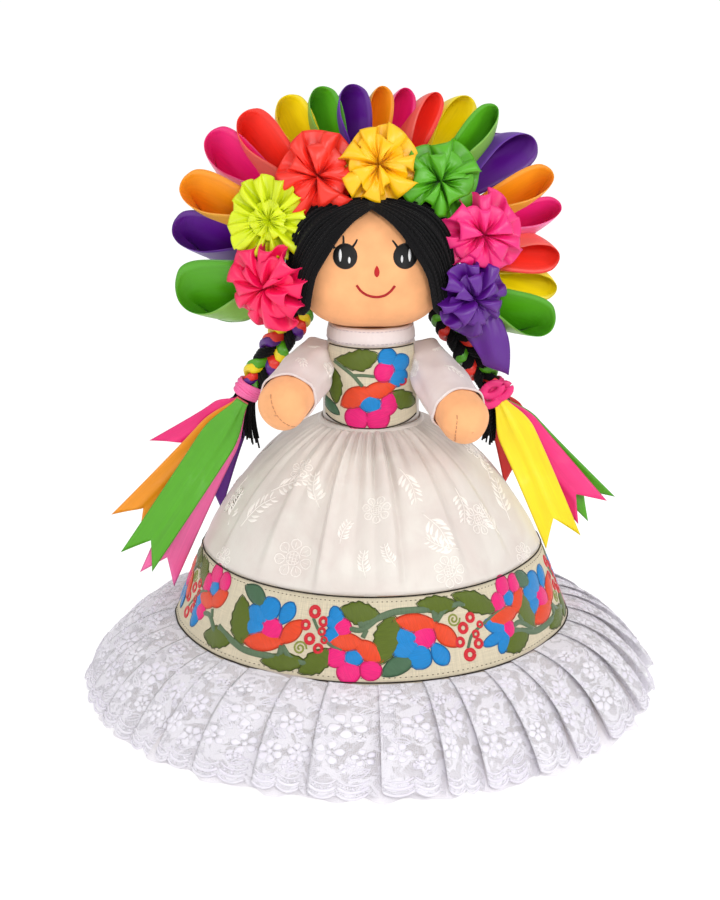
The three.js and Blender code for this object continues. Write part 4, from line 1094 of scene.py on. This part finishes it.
def lining_at(angle, t):
    rz = bezier(LINING, t)
    wave = 2.2 * np.sin(31 * angle + 1.2 * np.sin(5 * angle)) + 1.2 * np.sin(53 * angle)
    ripple = wave * smooth(t, 0.35, 1.0) - 2.0 * smooth(t, 0.2, 1)
    return turned(angle, rz + np.stack([ripple, 0.25 * np.abs(ripple) * (t > 0.95)], -1))


lining_shape = grid(lining_at, np.linspace(-math.pi, math.pi, 481), np.linspace(0, 1, 18), True,
                    lambda a, t: (a * 155, t * LINING_DROP))
lining = piece("lining_cloth", (lining_shape, lining_net), "torso", ["lining"])
LINING_AREA = LINING_DROP * TAU * (LINING[0, 0] + LINING[2, 0]) / 2
sheet(LINING_AREA)


# Arms, sleeves and legs

ARM_LENGTH, HAND_ROUND = 84.0, 15.3
SLEEVE_TOP, SLEEVE_LENGTH, SLEEVE_ROUND = -3.0, 58.0, 19.0
SLEEVE_HEM = 56.6
SLEEVE_MOTIFS = ((-24, 24, 13, 0.6), (2, 34, 15, 2.2), (22, 18, 13, 1.2), (40, 40, 13, 0.2),
                 (-46, 42, 13, 2.9), (-8, 12, 10, 0.1))


def arm_radius(along):
    body = lerp(13, HAND_ROUND, smooth(along, 0, ARM_LENGTH - HAND_ROUND))
    over = np.clip((along - (ARM_LENGTH - HAND_ROUND)) / HAND_ROUND, 0, 1)
    start = np.clip(along / 4.0, 0, 1)
    return body * np.sqrt(np.maximum(1 - over ** 2, 0)) * np.sqrt(np.maximum(1 - (1 - start) ** 2, 0.0))


def limb(side, sign, reach):
    """One arm with its hand's stitches and its sleeve, along reach from the shoulder."""
    root = vec(sign * 33.9, 2, 216)
    reach = unit(vec(*reach))
    across = unit(np.cross(reach, vec(0, 0, 1)))
    rise = np.cross(across, reach)

    def around(a, along, radius):
        c, s = np.cos(a)[..., None], np.sin(a)[..., None]
        out = (across * c + rise * s) * np.asarray(radius)[..., None]
        return root + reach * np.asarray(along)[..., None] + out

    def arm_at(a, along):
        seam = 0.5 * np.exp(-((a % TAU - math.radians(100)) / 0.06) ** 2)
        soft = 0.35 * np.sin(3 * a + along * 0.09)
        radius = arm_radius(along) + (soft - seam) * smooth(along, 2, 12) * (along < 80)
        return around(a, along, np.maximum(radius, 0.05))

    rows = np.concatenate([[0.0, 0.6, 2, 4], np.linspace(8, 64, 15),
                           ARM_LENGTH - HAND_ROUND + HAND_ROUND * np.sin(np.linspace(0.1, 1.56, 14))])
    arm_shape = closed_ends(grid(arm_at, np.linspace(0, TAU, 65), rows, True, lambda a, s: (a * 15, s)),
                            len(rows))
    arm = piece(side + "_arm_cloth", (arm_shape, skin), side + "_arm", [side + "_arm"])

    def hand_front(x, y):
        """The hand's round end, seen along the arm."""
        r = np.minimum(np.hypot(x, y), HAND_ROUND - 0.3)
        along = ARM_LENGTH - HAND_ROUND + np.sqrt(HAND_ROUND ** 2 - r ** 2)
        middle = root + reach * along[..., None]
        return middle + across * np.asarray(x)[..., None] + rise * np.asarray(y)[..., None]

    if sign < 0:
        line = [(4, 11), (1, 4), (-3, -3), (-9, -11)]
    else:
        line = [(9, 9), (9.6, 3), (9.4, -4), (7.5, -11)]
    sewn_line = stitches(hand_front, line, 2.0, 0.9, 0.5, 0.3)
    piece(side + "_hand_stitches", (join(sewn_line), seam_thread), side + "_arm")

    def sleeve_at(a, along):
        puff = 1.2 + 1.4 * np.sin(np.pi * np.clip(along / 50, 0, 1))
        fade = 1 - 0.6 * smooth(along, 20, 58)
        crease = 0.7 * np.sin(7 * a + 0.06 * along + sign + 0.8 * np.sin(2 * a)) * fade
        crease = crease + 0.35 * np.sin(0.24 * along + 2.2 * np.sin(2 * a + 1)) * smooth(along, 8, 24)
        base = lerp(13, HAND_ROUND, smooth(along, 0, 67.5))
        inner = np.cos(a) * -sign
        sag = 0.9 * smooth(along, 20, 58) * np.clip(inner, 0, 1)
        hem = (2.4 * np.sin(a + 0.8) + 3.0 * np.clip(inner, 0, 1)) * smooth(along, 36, 58)
        return around(a, along + hem, base + puff + crease + sag)

    sleeve_rows = np.linspace(SLEEVE_TOP, SLEEVE_LENGTH, 34)
    sleeve_shape = grid(sleeve_at, np.linspace(0, TAU, 97), sleeve_rows, True,
                        lambda a, s: (a * SLEEVE_ROUND, s))
    sleeve = piece(side + "_sleeve_cloth", (sleeve_shape, rosy_cloth), None, [side + "_sleeve"],
                   thick=0.8, out=1.0)

    def sleeve_flat(x, y):
        return sleeve_at(math.pi / 2 - x / SLEEVE_ROUND, y)

    motif = []
    for k, (x, y, size, turn) in enumerate(SLEEVE_MOTIFS):
        def place(px, py, x=x, y=y):
            return sleeve_flat(x + px, np.clip(y + py, -2, 57))
        motif += woven_fern(place, size, turn, 4) if k % 2 else woven_flower(place, size * 0.5, turn)
    leaves = piece(side + "_sleeve_woven_leaves", (join(motif), silk), None)
    hem_line = np.stack([np.linspace(-math.pi, math.pi, 73) * SLEEVE_ROUND, np.full(73, SLEEVE_HEM)], -1)
    hem_shape = laid(sleeve_flat, hem_line, 1.8, 0.45, smooth_line=False)
    hem = piece(side + "_sleeve_hem", (hem_shape, rosy_cloth), None)
    start, end = root * MM, (root + reach * 16) * MM
    for cloth in (sleeve, leaves, hem):
        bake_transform(cloth)
        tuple(start)
        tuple(end)
    sheet()


limb("right", -1, (-0.28, -0.94, -0.17))
limb("left", 1, (0.32, -0.89, -0.31))

LEG = np.array([(157.4, 0, 3, 3), (155.5, 0, 7.6, 7.6), (151, 0, 11.4, 11.4), (144.6, 0, 13, 13),
                (114, 0, 12.6, 12.6), (82.8, 0, 11.9, 11.9), (50, 0, 11.2, 11.2), (24, -0.4, 10.5, 10.8),
                (17, -3.2, 10.7, 14.2), (11.1, -6.4, 10.6, 17.4), (6, -6.6, 10.2, 17.0),
                (3.6, -6.6, 9.2, 15.8)])


def leg_shape(sign):
    def leg_at(a, z):
        cy, hx, hy = (np.interp(-z, -LEG[:, 0], LEG[:, k]) for k in (1, 2, 3))
        seam = 1 - 0.03 * np.exp(-(np.sin(a) / 0.07) ** 2)
        return stack(sign * 15.5 + hx * np.sin(a) * seam, cy - hy * np.cos(a) * seam, z)
    rows = np.concatenate([LEG[:4, 0], np.linspace(138, 30, 14), np.linspace(24, 3.6, 9)])
    return closed_ends(grid(leg_at, np.linspace(0, TAU, 49), rows, True, lambda a, z: (a * 12, z)),
                       len(rows))


for side, sign in (("right", -1), ("left", 1)):
    leg = piece(side + "_leg_cloth", (leg_shape(sign), sole_skin), side + "_leg", [side + "_leg"])


# Head and face

HEAD_Z, HEAD_HALF = 280.0, vec(46, 38, 40)
HEAD_CENTRE = vec(0, 0, HEAD_Z)
HEAD_SQUARENESS = 2.8
EYE_Z = 290.0


def head_at(lon, lat):
    """The stuffed head, lon 0 in front."""
    d = stack(np.cos(lat) * np.sin(lon), -np.cos(lat) * np.cos(lon), np.sin(lat))
    r = (np.abs(d / HEAD_HALF) ** HEAD_SQUARENESS).sum(-1) ** (-1 / HEAD_SQUARENESS)
    return HEAD_CENTRE + d * r[..., None]


def face_at(x, z):
    across, up = np.abs(x / HEAD_HALF[0]), np.abs((z - HEAD_Z) / HEAD_HALF[2])
    inside = 1 - across ** HEAD_SQUARENESS - up ** HEAD_SQUARENESS
    return stack(x, -HEAD_HALF[1] * np.maximum(inside, 0.02) ** (1 / HEAD_SQUARENESS), z)


lats = np.linspace(-math.pi / 2 + 0.02, math.pi / 2 - 0.02, 49)
head_shape = closed_ends(grid(head_at, AROUND, lats, True, lambda a, b: (a * 42, b * 38)), len(lats))
head = piece("head_cloth", (head_shape, skin), "head", ["head"])

# Each eye: its place across, its glints (across, up, width, height) and its lashes, from one place to another
EYES = ((-16, ((-2.8, 0.6, 2.0, 8.0), (2.6, -2.0, 1.7, 4.4)),
         ((-6.2, 4.6, -9.8, 8.6), (-1, 7.2, -1.2, 12.2), (4.6, 5.8, 7.4, 10.2))),
        (20.5, ((-2.3, -1.4, 1.6, 4.9), (2.3, 0.6, 2.0, 8.2)),
         ((-5.0, 5.6, -8.0, 9.6), (0.4, 7.2, 0.6, 12.0), (6.0, 4.8, 9.4, 8.4))))
face = []
for x, glints, lashes in EYES:
    face.append((patch(face_at, disc((x, EYE_Z), 7.7, 1.05, steps=28), 1.1), stitch_look["black"]))
    for dx, dz, wide, tall in glints:
        glint = leaf((x + dx, EYE_Z + dz - tall / 2), (x + dx, EYE_Z + dz + tall / 2), wide, blunt=0.6)
        face.append((patch(face_at, glint, 1.45, base=0.7), stitch_look["white"]))
    for x0, z0, x1, z1 in lashes:
        middle = ((x0 + x1) / 2 + x + 0.2, (z0 + z1) / 2 + EYE_Z)
        lash = [(x + x0, EYE_Z + z0), middle, (x + x1, EYE_Z + z1)]
        face.append((laid(face_at, lash, 1.7, 0.5, taper=0.4), stitch_look["black"]))
nose = leaf((3.2, 277.2), (3.2, 284.8), 3.4, belly=0.42)
face.append((patch(face_at, nose, 0.7), stitch_look["face_red"]))
mouth = [(-9.1, 272.5), (-6.2, 268.6), (-2, 266), (3.1, 265), (8, 266), (11.6, 268.6), (14.2, 272)]
face.append((laid(face_at, mouth, 1.7, 0.55), stitch_look["mouth"]))
piece("face_stitching", face, "head")


# Hair: yarn drawn from the parting to the two braids

HAIR_HALF, HAIR_CENTRE = vec(53, 45, 44), vec(0, 1, HEAD_Z)
HAIR_SQUARENESS = 3
BRAID_ROOT = vec(42.9, 12, 249)
PARTING_FROM, PARTING_TO = math.radians(49), math.radians(214)
OPENING = np.array([(0, 319.5), (10.4, 313), (17.7, 306), (22.3, 299.7), (29.5, 288), (34.8, 277.5),
                    (37.6, 264), (39, 254)])


def onto_hair(d, out=0.0):
    r = (np.abs(d / HAIR_HALF) ** HAIR_SQUARENESS).sum(-1) ** (-1 / HAIR_SQUARENESS)
    return HAIR_CENTRE + d * (r + out)[..., None]


def hair_front(x, z):
    across, up = np.abs(x / HAIR_HALF[0]), np.abs((z - HEAD_Z) / HAIR_HALF[2])
    inside = 1 - across ** HAIR_SQUARENESS - up ** HAIR_SQUARENESS
    return stack(x, HAIR_CENTRE[1] - HAIR_HALF[1] * np.maximum(inside, 0.05) ** (1 / HAIR_SQUARENESS), z)


def hair_direction(p, v, sign):
    """Direction from the hair's middle: p from the brow back to the nape, v from the parting to the braid."""
    edge = spline(OPENING, 41)
    shares = np.linspace(0, 0.86, 41)
    brow = hair_front(np.interp(v, shares, edge[:, 0]), np.interp(v, shares, edge[:, 1]))
    front = unit(brow - HAIR_CENTRE)
    end = unit(BRAID_ROOT + vec(0, -2, 2) - HAIR_CENTRE)
    tail = smooth(v, 0.82, 1.0)[..., None]
    front = unit(front * (1 - tail) + end * tail)
    back = lerp(PARTING_FROM, PARTING_TO, p)
    start = stack(0 * p, -np.cos(back), np.sin(back))
    omega = np.arccos(np.clip((start * end).sum(-1), -1, 1))
    swept = np.sin((1 - v) * omega)[..., None] * start + np.sin(v * omega)[..., None] * end
    swept = swept / np.sin(omega)[..., None]
    mixed = unit(lerp(front, swept, smooth(p, 0.0, 0.42)[..., None]))
    return mixed * [sign, 1, 1]


STRANDS, STRAND_STEPS = 96, 30
hair_parts = []
for sign in (-1, 1):
    def cap_at(p, v, sign=sign):
        return onto_hair(hair_direction(p, v, sign), -1.2)
    hair_parts.append(grid(cap_at, np.linspace(0, 1, 41), np.linspace(0, 1, 31), False,
                           lambda p, v: (p * 130, v * 110)))
    for k in range(STRANDS):
        p = (k + 0.5) / STRANDS + 0.004 * waves(np.linspace(0, 6, STRAND_STEPS), 100 + k, 0.6, 1.4)
        v = np.linspace(0.0, 1.0, STRAND_STEPS)
        lift = 0.3 * math.sin(2.4 * k) + 0.2 + 0.2 * waves(v * 6, 300 + k, 0.7, 1.6)
        line = onto_hair(hair_direction(np.clip(p, 0, 1), v, sign), lift - 0.9)
        thick = 1.15 * (1 - 0.35 * v) + 0.15 * math.sin(1.7 * k)
        hair_parts.append(tube(line, thick, sides=6, up=(0.13, 0.31, 0.2)))
piece("hair_yarn", (join(hair_parts), hair_yarn), "head", ["hair"])


# Crown: band, ribbon loops and rosettes, built above the head and turned round it by their angle

CROWN_Y = 8.0
RIBBON_THICK = 0.35


def ribbon(name, colour, shape, body, thick=RIBBON_THICK, other_side=None):
    """A length of satin ribbon that stands for the solid of its name."""
    return piece(name + "_ribbon", (shape, ribbon_look[colour]), body, [name], thick,
                 other_side=other_side)


def hair_reach(angle):
    across, up = np.abs(np.cos(angle)) / HAIR_HALF[0], np.abs(np.sin(angle)) / HAIR_HALF[2]
    return (across ** HAIR_SQUARENESS + up ** HAIR_SQUARENESS) ** (-1 / HAIR_SQUARENESS)


def around_head(p, angle):
    theta = math.pi / 2 - angle
    c, s = np.cos(theta), np.sin(theta)
    return stack(p[..., 0] * c + p[..., 2] * s, p[..., 1], -p[..., 0] * s + p[..., 2] * c + HEAD_Z)


def band_at(angle, y):
    reach = hair_reach(angle) + 1.7
    return stack(reach * np.cos(angle), y, reach * np.sin(angle) + HEAD_Z)


BAND_ANGLES = np.radians(np.linspace(-22, 202, 113))
band_shape = grid(band_at, BAND_ANGLES, np.linspace(1.8, 14.2, 7), False, lambda a, y: (a * 50, y))
band = ribbon("crown_band", "gold", band_shape, "head", thick=0.6)
BAND_RUN = run_of(band_at(BAND_ANGLES, np.full(len(BAND_ANGLES), CROWN_Y)))
sheet()

LOOP_COLOURS = ("green", "yellow", "coral", "pink", "orange", "purple")
LOOPS = 19
LOOP_DEGREES = (-17, -8, 2, 14.5, 25, 37.5, 50.5, 60.5, 70.5, 79.5, 88, 97, 108, 120, 132.5, 145, 158,
                172.5, 190)
LOOP_ANGLES = np.radians(LOOP_DEGREES)
FRONT_UP = [(0.2, -3, 0), (0.0, -6.5, 0.18), (-0.35, -10, 0.42), (-0.78, -12, 0.7), (-0.74, -12, 0.88),
            (-0.42, -12, 0.975)]
FRONT_DOWN = [(0, -12, 1.0), (0.46, -12, 0.975), (0.86, -12, 0.9), (1.0, -12, 0.74), (0.84, -9, 0.46),
              (0.6, -4, 0.2), (0.4, 1, 0)]
BACK_UP = [(0, -1, 0), (-0.32, 2, 0.18), (-0.5, 5.5, 0.4), (-0.5, 8, 0.58), (-0.44, 9.3, 0.7),
           (-0.37, 9.8, 0.77)]
BACK_DOWN = [(-0.32, 10, 0.8), (-0.385, 10.9, 0.77), (-0.475, 11.5, 0.7), (-0.53, 11.2, 0.56),
             (-0.5, 9.8, 0.4), (-0.27, 7, 0.18), (0, 4, 0)]
LOOP_STEPS = 71
MIRRORED_LOOPS = (0, 3, 4, 6)
TURNED_OUT = {0: 0.5, 3: 1.25, 4: 0.85, 6: 1.2, 8: 1.1, 2: 0.7, 1: 0.7}
WIDENED = {0: 1.5, 5: 0.86, 11: 1.22}
BROUGHT_FORWARD = (0, 11)
SHORTENED = {0: 0.92, 1: 0.88, 2: 0.88, 3: 0.95}
MOVED_ASIDE = {0: -7.0, 18: -5.0}
WIDEST, WIDEST_LAST = 14.0, 19.0


def loop_at(index):
    """One ribbon loop: its inside faces forward, its near leg shows a strip of its outside."""
    angle = LOOP_ANGLES[index]
    draw = np.random.default_rng(40 + index)
    foot = hair_reach(angle) + 2.8
    length = lerp(60, 70, abs(math.cos(angle))) * SHORTENED.get(index, 1.0) + draw.uniform(-3.0, 1.5)
    near = min(abs(LOOP_DEGREES[index] - d) for d in LOOP_DEGREES if d != LOOP_DEGREES[index])
    side = -1 if index in MIRRORED_LOOPS else 1
    turned_out = TURNED_OUT.get(index, 0.62)
    room = 2.85 * (foot + 0.72 * length) * math.tan(math.radians(near / 2))
    widest = WIDEST_LAST if index == LOOPS - 1 else WIDEST
    half = min(room * WIDENED.get(index, 1.0) / (1.78 + turned_out), widest)
    back_half = half * (0.78 + turned_out) / 0.5
    front = spline(FRONT_UP + FRONT_DOWN, LOOP_STEPS) * vec(half, 1, length)
    back = spline(BACK_UP + BACK_DOWN, LOOP_STEPS) * vec(back_half, 1, length)
    middle = half * 0.5 * (turned_out - 0.22) + MOVED_ASIDE.get(index, 0.0)
    sway = draw.uniform(-2.5, 2.5)
    shift = CROWN_Y + (3.0 if index % 2 else -3.0) - (9.0 if index in BROUGHT_FORWARD else 0.0)

    def point(t, across):
        i = np.rint(t * (LOOP_STEPS - 1)).astype(int)
        w = ((across + 1) / 2)[..., None]
        p = lerp(back[i], front[i], w)
        bow = (1 - across ** 2) * np.sin(np.pi * t) ** 2
        rise = p[..., 2] / length
        x = p[..., 0] - 1.2 * np.cos(np.pi * t) * bow + sway * rise ** 2 + middle * rise
        y = p[..., 1] + shift + 0.16 * p[..., 2] + 0.8 * bow
        z = p[..., 2] + foot + 1.6 * bow
        return around_head(stack(side * x, y, z), angle)

    return point, length


def flipped(shape):
    """The same shape with its faces turned over."""
    points, faces, uvs = shape
    return points, [face[::-1] for face in faces], uvs.reshape(-1, 4, 2)[:, ::-1].reshape(-1, 2)


for i in range(LOOPS):
    colour = LOOP_COLOURS[i % len(LOOP_COLOURS)]
    loop_line, loop_length = loop_at(i)
    shape = grid(loop_line, np.linspace(0, 1, LOOP_STEPS), np.linspace(-1, 1, 9), False,
                 lambda t, w: (t * 145, (w + 1) * RIBBON_WIDTH / 2))
    if i in MIRRORED_LOOPS:
        shape = flipped(shape)
    name = f"loop_{i + 1:02d}_{colour}"
    # the loop's outside face takes the paler copy of its colour, painted light and sheen
    loop = ribbon(name, colour, shape, "head", other_side=painted_lit_side_look[colour])
    sheet()

# Each rosette: colour, degrees round the head, seat (out, place in y, tilt) and its ruffles, each by
# radius, folds, lowest and highest slope in degrees and place ahead of the seat
ROSETTES = (("hot_pink", 190.0, (11, -23, 0.54), ((27.5, 9, 0, 42, -5), (21, 7, 24, 64, -3))),
            ("chartreuse", 155.33, (13.5, -19, 0.245), ((26, 12, 0, 20, -2), (12, 7, 10, 36, 0))),
            ("coral", 120.67, (14, -12, 0.245), ((28, 6, 0, 46, -5), (21, 5, 24, 66, -3))),
            ("gold", 86.0, (19, -19, 0.245), ((24.5, 7, 0, 42, -5), (18, 5, 22, 62, -3))),
            ("green", 51.33, (14.5, -12, 0.245), ((26, 6, 0, 46, -5), (20, 5, 24, 66, -3))),
            ("pink", 16.67, (16.5, -19, 0.245), ((26, 7, 0, 42, -5), (20, 5, 24, 64, -3))),
            ("purple", -16.5, (10.0, -23, 0.54), ((24.5, 8, 0, 42, -5), (19, 6, 24, 64, -3))))


def seated(x, up, height, angle, seat):
    """A place on a rosette's face, put where the rosette sits on the crown."""
    out, centre_y, tilt = seat
    ahead = stack(x, -height * math.cos(tilt) + up * math.sin(tilt),
                  up * math.cos(tilt) + height * math.sin(tilt))
    return around_head(ahead + vec(0, centre_y, hair_reach(angle) + out), angle)


GATHERS, GATHER_DEPTH = 40, 1.5


def ruffle_at(angle, seat, radius, folds, low, high, forward, seed):
    """A gathered ring of ribbon, in deep bends between two slopes round a tight middle."""
    draw = np.random.default_rng(seed)
    phase, warp, swell, tuck = draw.uniform(0, TAU, 4)
    middle, half = math.radians(low + high) / 2, math.radians(high - low) / 2

    def point(a, w):
        b = a + 0.26 * np.sin(a + warp) + 0.14 * np.sin(2 * a + swell)
        turn = folds * b + phase
        way = b + 0.5 / folds * np.sin(2 * turn) * smooth(w, 0.0, 0.5)
        way = way + 0.35 / folds * np.sin(turn + tuck) * w
        way = way + 0.7 / folds * np.sin(3.2 * w + 3 * a + tuck) * w
        depth = 0.85 + 0.25 * np.sin(2 * a + swell) + 0.2 * np.sin(5 * a + tuck)
        slope = (middle + half * depth * np.cos(turn)) * (1 + 0.3 * np.sin(np.pi * w)) * (1 - 0.45 * w ** 3)
        length = radius * w * (1 + 0.06 * np.sin(3 * a + warp) + 0.05 * np.sin(turn + tuck))
        gathers = np.sin(GATHERS * b + 2 * np.sin(2 * b + warp) + tuck)
        pucker = GATHER_DEPTH * gathers * np.exp(-((w - 0.36) / 0.24) ** 2)
        height = forward + length * np.sin(slope) + pucker - 2.0 * np.exp(-(w / 0.15) ** 2)
        out = length * np.cos(slope)
        return seated(out * np.cos(way), out * np.sin(way), height, angle, seat)

    return point


DROP_LINE = [(4, -3, 0), (9, -7, -13), (15, -9, -31), (19, -7, -46), (20, -2, -52), (18, 3, -45),
             (12, 4, -28), (6, 1, -8)]
DROP_STEPS = 61


def drop_at(centre):
    """The loop of purple ribbon below its rosette, gathered at its top, its fold slanting."""
    line = spline(DROP_LINE, DROP_STEPS)

    def point(s, across):
        i = np.rint(s * (DROP_STEPS - 1)).astype(int)
        low = np.clip(-line[i][..., 2] / 52, 0, 1)
        half = 13.5 * np.interp(low, (0, 0.25, 0.55, 0.85, 1), (0.4, 0.85, 1.05, 1.0, 0.9))
        turned_in = 1 - 0.25 * smooth(low, 0.6, 1.0) * across ** 2
        bow = (2.6 * (1 - across ** 2) + 1.0 * np.sin(5 * across + 4 * s)) * np.sin(np.pi * low)
        bow = bow * np.where(s < 0.55, 1, -0.5)
        drop = across * half * (0.2 - 0.5 * smooth(low, 0.2, 1.0))
        return centre * [1, 0, 1] + line[i] + stack(across * half * 0.9 * turned_in, -bow, drop)
    return point


for i, (colour, degrees, seat, ruffles) in enumerate(ROSETTES):
    angle = math.radians(degrees)
    name = "rosette_" + colour
    shapes = []
    selvage = 0.0
    for k, ruffle in enumerate(ruffles):
        fn = ruffle_at(angle, seat, *ruffle, 70 + 10 * i + k)
        selvage += run_of(fn(np.linspace(0, TAU, 961), np.ones(961)))
        shapes.append(grid(fn, np.linspace(0, TAU, 481), np.linspace(0.03, 1, 20), True,
                           lambda a, r: (r * RIBBON_WIDTH, a * 3.8)))
    if colour == "purple":
        reach = hair_reach(angle) + 7
        centre = vec(reach * math.cos(angle), 0, reach * math.sin(angle) + HEAD_Z)
        selvage += run_of(spline(DROP_LINE, DROP_STEPS))
        shapes.append(grid(drop_at(centre), np.linspace(0, 1, DROP_STEPS), np.linspace(-1, 1, 13), False,
                           lambda s, w: (s * 110, (w + 1) * RIBBON_WIDTH / 2)))
    rosette = ribbon(name, colour, join(shapes), "head")
    sheet()


# Braids, ties and ribbon tails

BRAID_LENGTH, BRAID_TURN = 66.0, 31.0
BRAID_SLANT = math.radians(33)
TAIL_STEPS, TAIL_NOTCH = 40, 11
# Each tail: colour, degrees it swings out, length, layer in front of the tie and drift to the front
TAILS = {"right": (("pink", 56, 66, 0, 3), ("orange", 43, 114, 1, 6), ("rose", 26, 130, 2, 14),
                   ("green", 34, 124, 3, 17), ("purple", 19, 92, -1, -34)),
         "left": (("green", 43, 100, 0, 3), ("pink", 40, 96, 1, 8), ("yellow", 25, 100, 2, 14),
                  ("red", 16, 72, -1, -38))}


def braid(side, sign, colours):
    """One braid of a yarn strand and two ribbon strands, its tie and the ribbon tails that hang from it."""
    body = side + "_braid"
    root = BRAID_ROOT * [sign, 1, 1]
    down = vec(sign * math.sin(BRAID_SLANT), 0, -math.cos(BRAID_SLANT))
    across = vec(sign * math.cos(BRAID_SLANT), 0, math.sin(BRAID_SLANT))
    front = vec(0, -1, 0)
    tie = root + down * BRAID_LENGTH

    def strand(k, shift=0.0):
        s = np.linspace(-6, BRAID_LENGTH - 1, 56)
        turn = TAU * ((s - BRAID_LENGTH) / BRAID_TURN + k / 3)
        wide = 7.4 * smooth(s, -8, 10) * (1 - 0.45 * smooth(s, 50, 66))
        path = root + down * s[:, None] + across * (wide * np.sin(turn) + shift)[:, None]
        return path + front * (5 * np.sin(2 * turn) * (1 - 0.5 * smooth(s, 52, 66)))[:, None]

    thin = 1 - 0.35 * smooth(np.linspace(-6, BRAID_LENGTH - 1, 56), 48, 66)
    for k, (node, pair) in enumerate((("yarn", None), ("ribbon_a", colours[0]), ("ribbon_b", colours[1]))):
        name = f"{side}_braid_{node}"
        if pair is None:
            parts = []
            for j in range(7):
                a = j * TAU / 7
                path = strand(k) + down * (2.6 * math.cos(a)) + front * (1.5 * math.sin(a))
                parts.append((tube(path, 1.6 * thin, sides=7, up=(0, 1, 0.2)), hair_yarn))
            for j in range(46):
                draw = np.random.default_rng(500 + j + (0 if sign < 0 else 90))
                a, r = draw.uniform(0, TAU), draw.uniform(0, 1) ** 0.5
                top = tie + across * (5.5 * r * math.cos(a)) + front * (2.2 * r * math.sin(a) - 1)
                length = draw.uniform(24, 33)
                aside = 9 * r * math.cos(a) + draw.uniform(-2, 2) - 9
                splay = across * aside + front * (3 * r * math.sin(a) - 2)
                bend = top + down * length * 0.5 + splay * 0.35
                end = top + down * length * 0.86 + splay + vec(0, 0, -4)
                path = bezier((top, bend, end), np.linspace(0, 1, 9))
                parts.append((tube(path, 0.62, sides=5, up=(0.1, 1, 0.2)), hair_yarn))
            piece(name + "_wool", parts, body, [name])
            continue
        parts = []
        for j, colour in enumerate(pair):
            shift = (j - (len(pair) - 1) / 2) * 3.8
            path = strand(k) + down * shift * 0.9
            parts.append((tube(path, 3.5 * thin, 1.6 * thin, sides=12, up=(0.05, 1, 0)),
                          hair_yarn if colour == "black" else ribbon_look[colour]))
        piece(name + "_ribbons", parts, body, [name])

    wraps = []
    for j in range(7):
        a = np.linspace(0, TAU, 33)
        wobble = 0.5 * np.sin(2 * a + j)
        radius = 8.0 + 0.5 * math.sin(2 * j)
        path = tie + down * (j - 3) * 1.3 + down * wobble[:, None]
        path = path + across * (radius * np.cos(a))[:, None] + front * (radius * 0.82 * np.sin(a))[:, None]
        wraps.append(tube(path, 1.15, sides=7, up=tuple(down), caps=False))
    if sign > 0:
        knot = tie + front * 8
        for j, (dx, dz, size) in enumerate(((-3.5, 2.0, 6.2), (4.0, 1.0, 6.6), (0.5, -3.0, 6.0))):
            a = np.linspace(0, TAU, 21)
            path = knot + across * (dx + size * np.cos(a))[:, None]
            path = path + down * (dz + size * 0.62 * np.sin(a))[:, None]
            path = path + front * (1.2 * j + 1.4 * np.sin(a + j))[:, None]
            wraps.append(tube(path, 2.6, 1.1, sides=9, up=(0, 1, 0.1), caps=False))
    tie_look = ribbon_look["rose" if sign < 0 else "pink"]
    piece(side + "_braid_tie_thread", (join(wraps), tie_look), body, [side + "_braid_tie"])

    for n, (colour, splay, length, layer, drift) in enumerate(TAILS[side]):
        depth = 4.8 + 1.4 * layer if layer >= 0 else -5.0
        way = vec(sign * math.sin(math.radians(splay)), 0, -math.cos(math.radians(splay)))
        begin = tie + down * 6.4 + front * depth
        elbow = begin + down * 0.2 * length + front * 0.35 * drift
        end = begin + way * length + front * drift
        line = bezier((begin, elbow, end), np.linspace(0, 1, TAIL_STEPS + 1))
        _, flat, out = frames(line, front)

        def tail_at(s, w, line=line, flat=flat, out=out, n=n, length=length):
            cut = 1 - (TAIL_NOTCH / length) * (1 - np.abs(w)) * np.where(s > 0.5, (s - 0.5) * 2, 0)
            at = np.clip(s * cut, 0, 1) * TAIL_STEPS
            i = np.minimum(at.astype(int), TAIL_STEPS - 1)
            f = (at - i)[..., None]
            share = at / TAIL_STEPS
            half = RIBBON_WIDTH / 2 * lerp(0.35, 1, smooth(share, 0, 0.4))
            crease = 1.3 * np.exp(-((w - 0.25 * math.sin(n + 1)) / 0.16) ** 2) * (1 - 0.4 * share)
            cup = 2.6 * (w ** 2 - 0.3) * math.cos(2.1 * n + sign) * smooth(share, 0.25, 0.6)
            curl = 2.0 * np.sin(6 * share + n) * share
            place, side_way, skin_way = (rows[i] * (1 - f) + rows[i + 1] * f for rows in (line, flat, out))
            bent = (crease + cup + curl) * smooth(share, 0, 0.15)
            return place + side_way * (half * w)[..., None] + skin_way * bent[..., None]

        shape = grid(tail_at, np.linspace(0, 1, 45), np.linspace(-1, 1, 17), False,
                     lambda s, w, length=length: (s * length, (w + 1) * RIBBON_WIDTH / 2))
        name = f"{side}_tail_{colour}"
        tail = ribbon(name, colour, shape, body)
        sheet()


braid("right", -1, (("coral", "purple"), ("green", "yellow")))
braid("left", 1, (("black", "coral"), ("black", "green")))
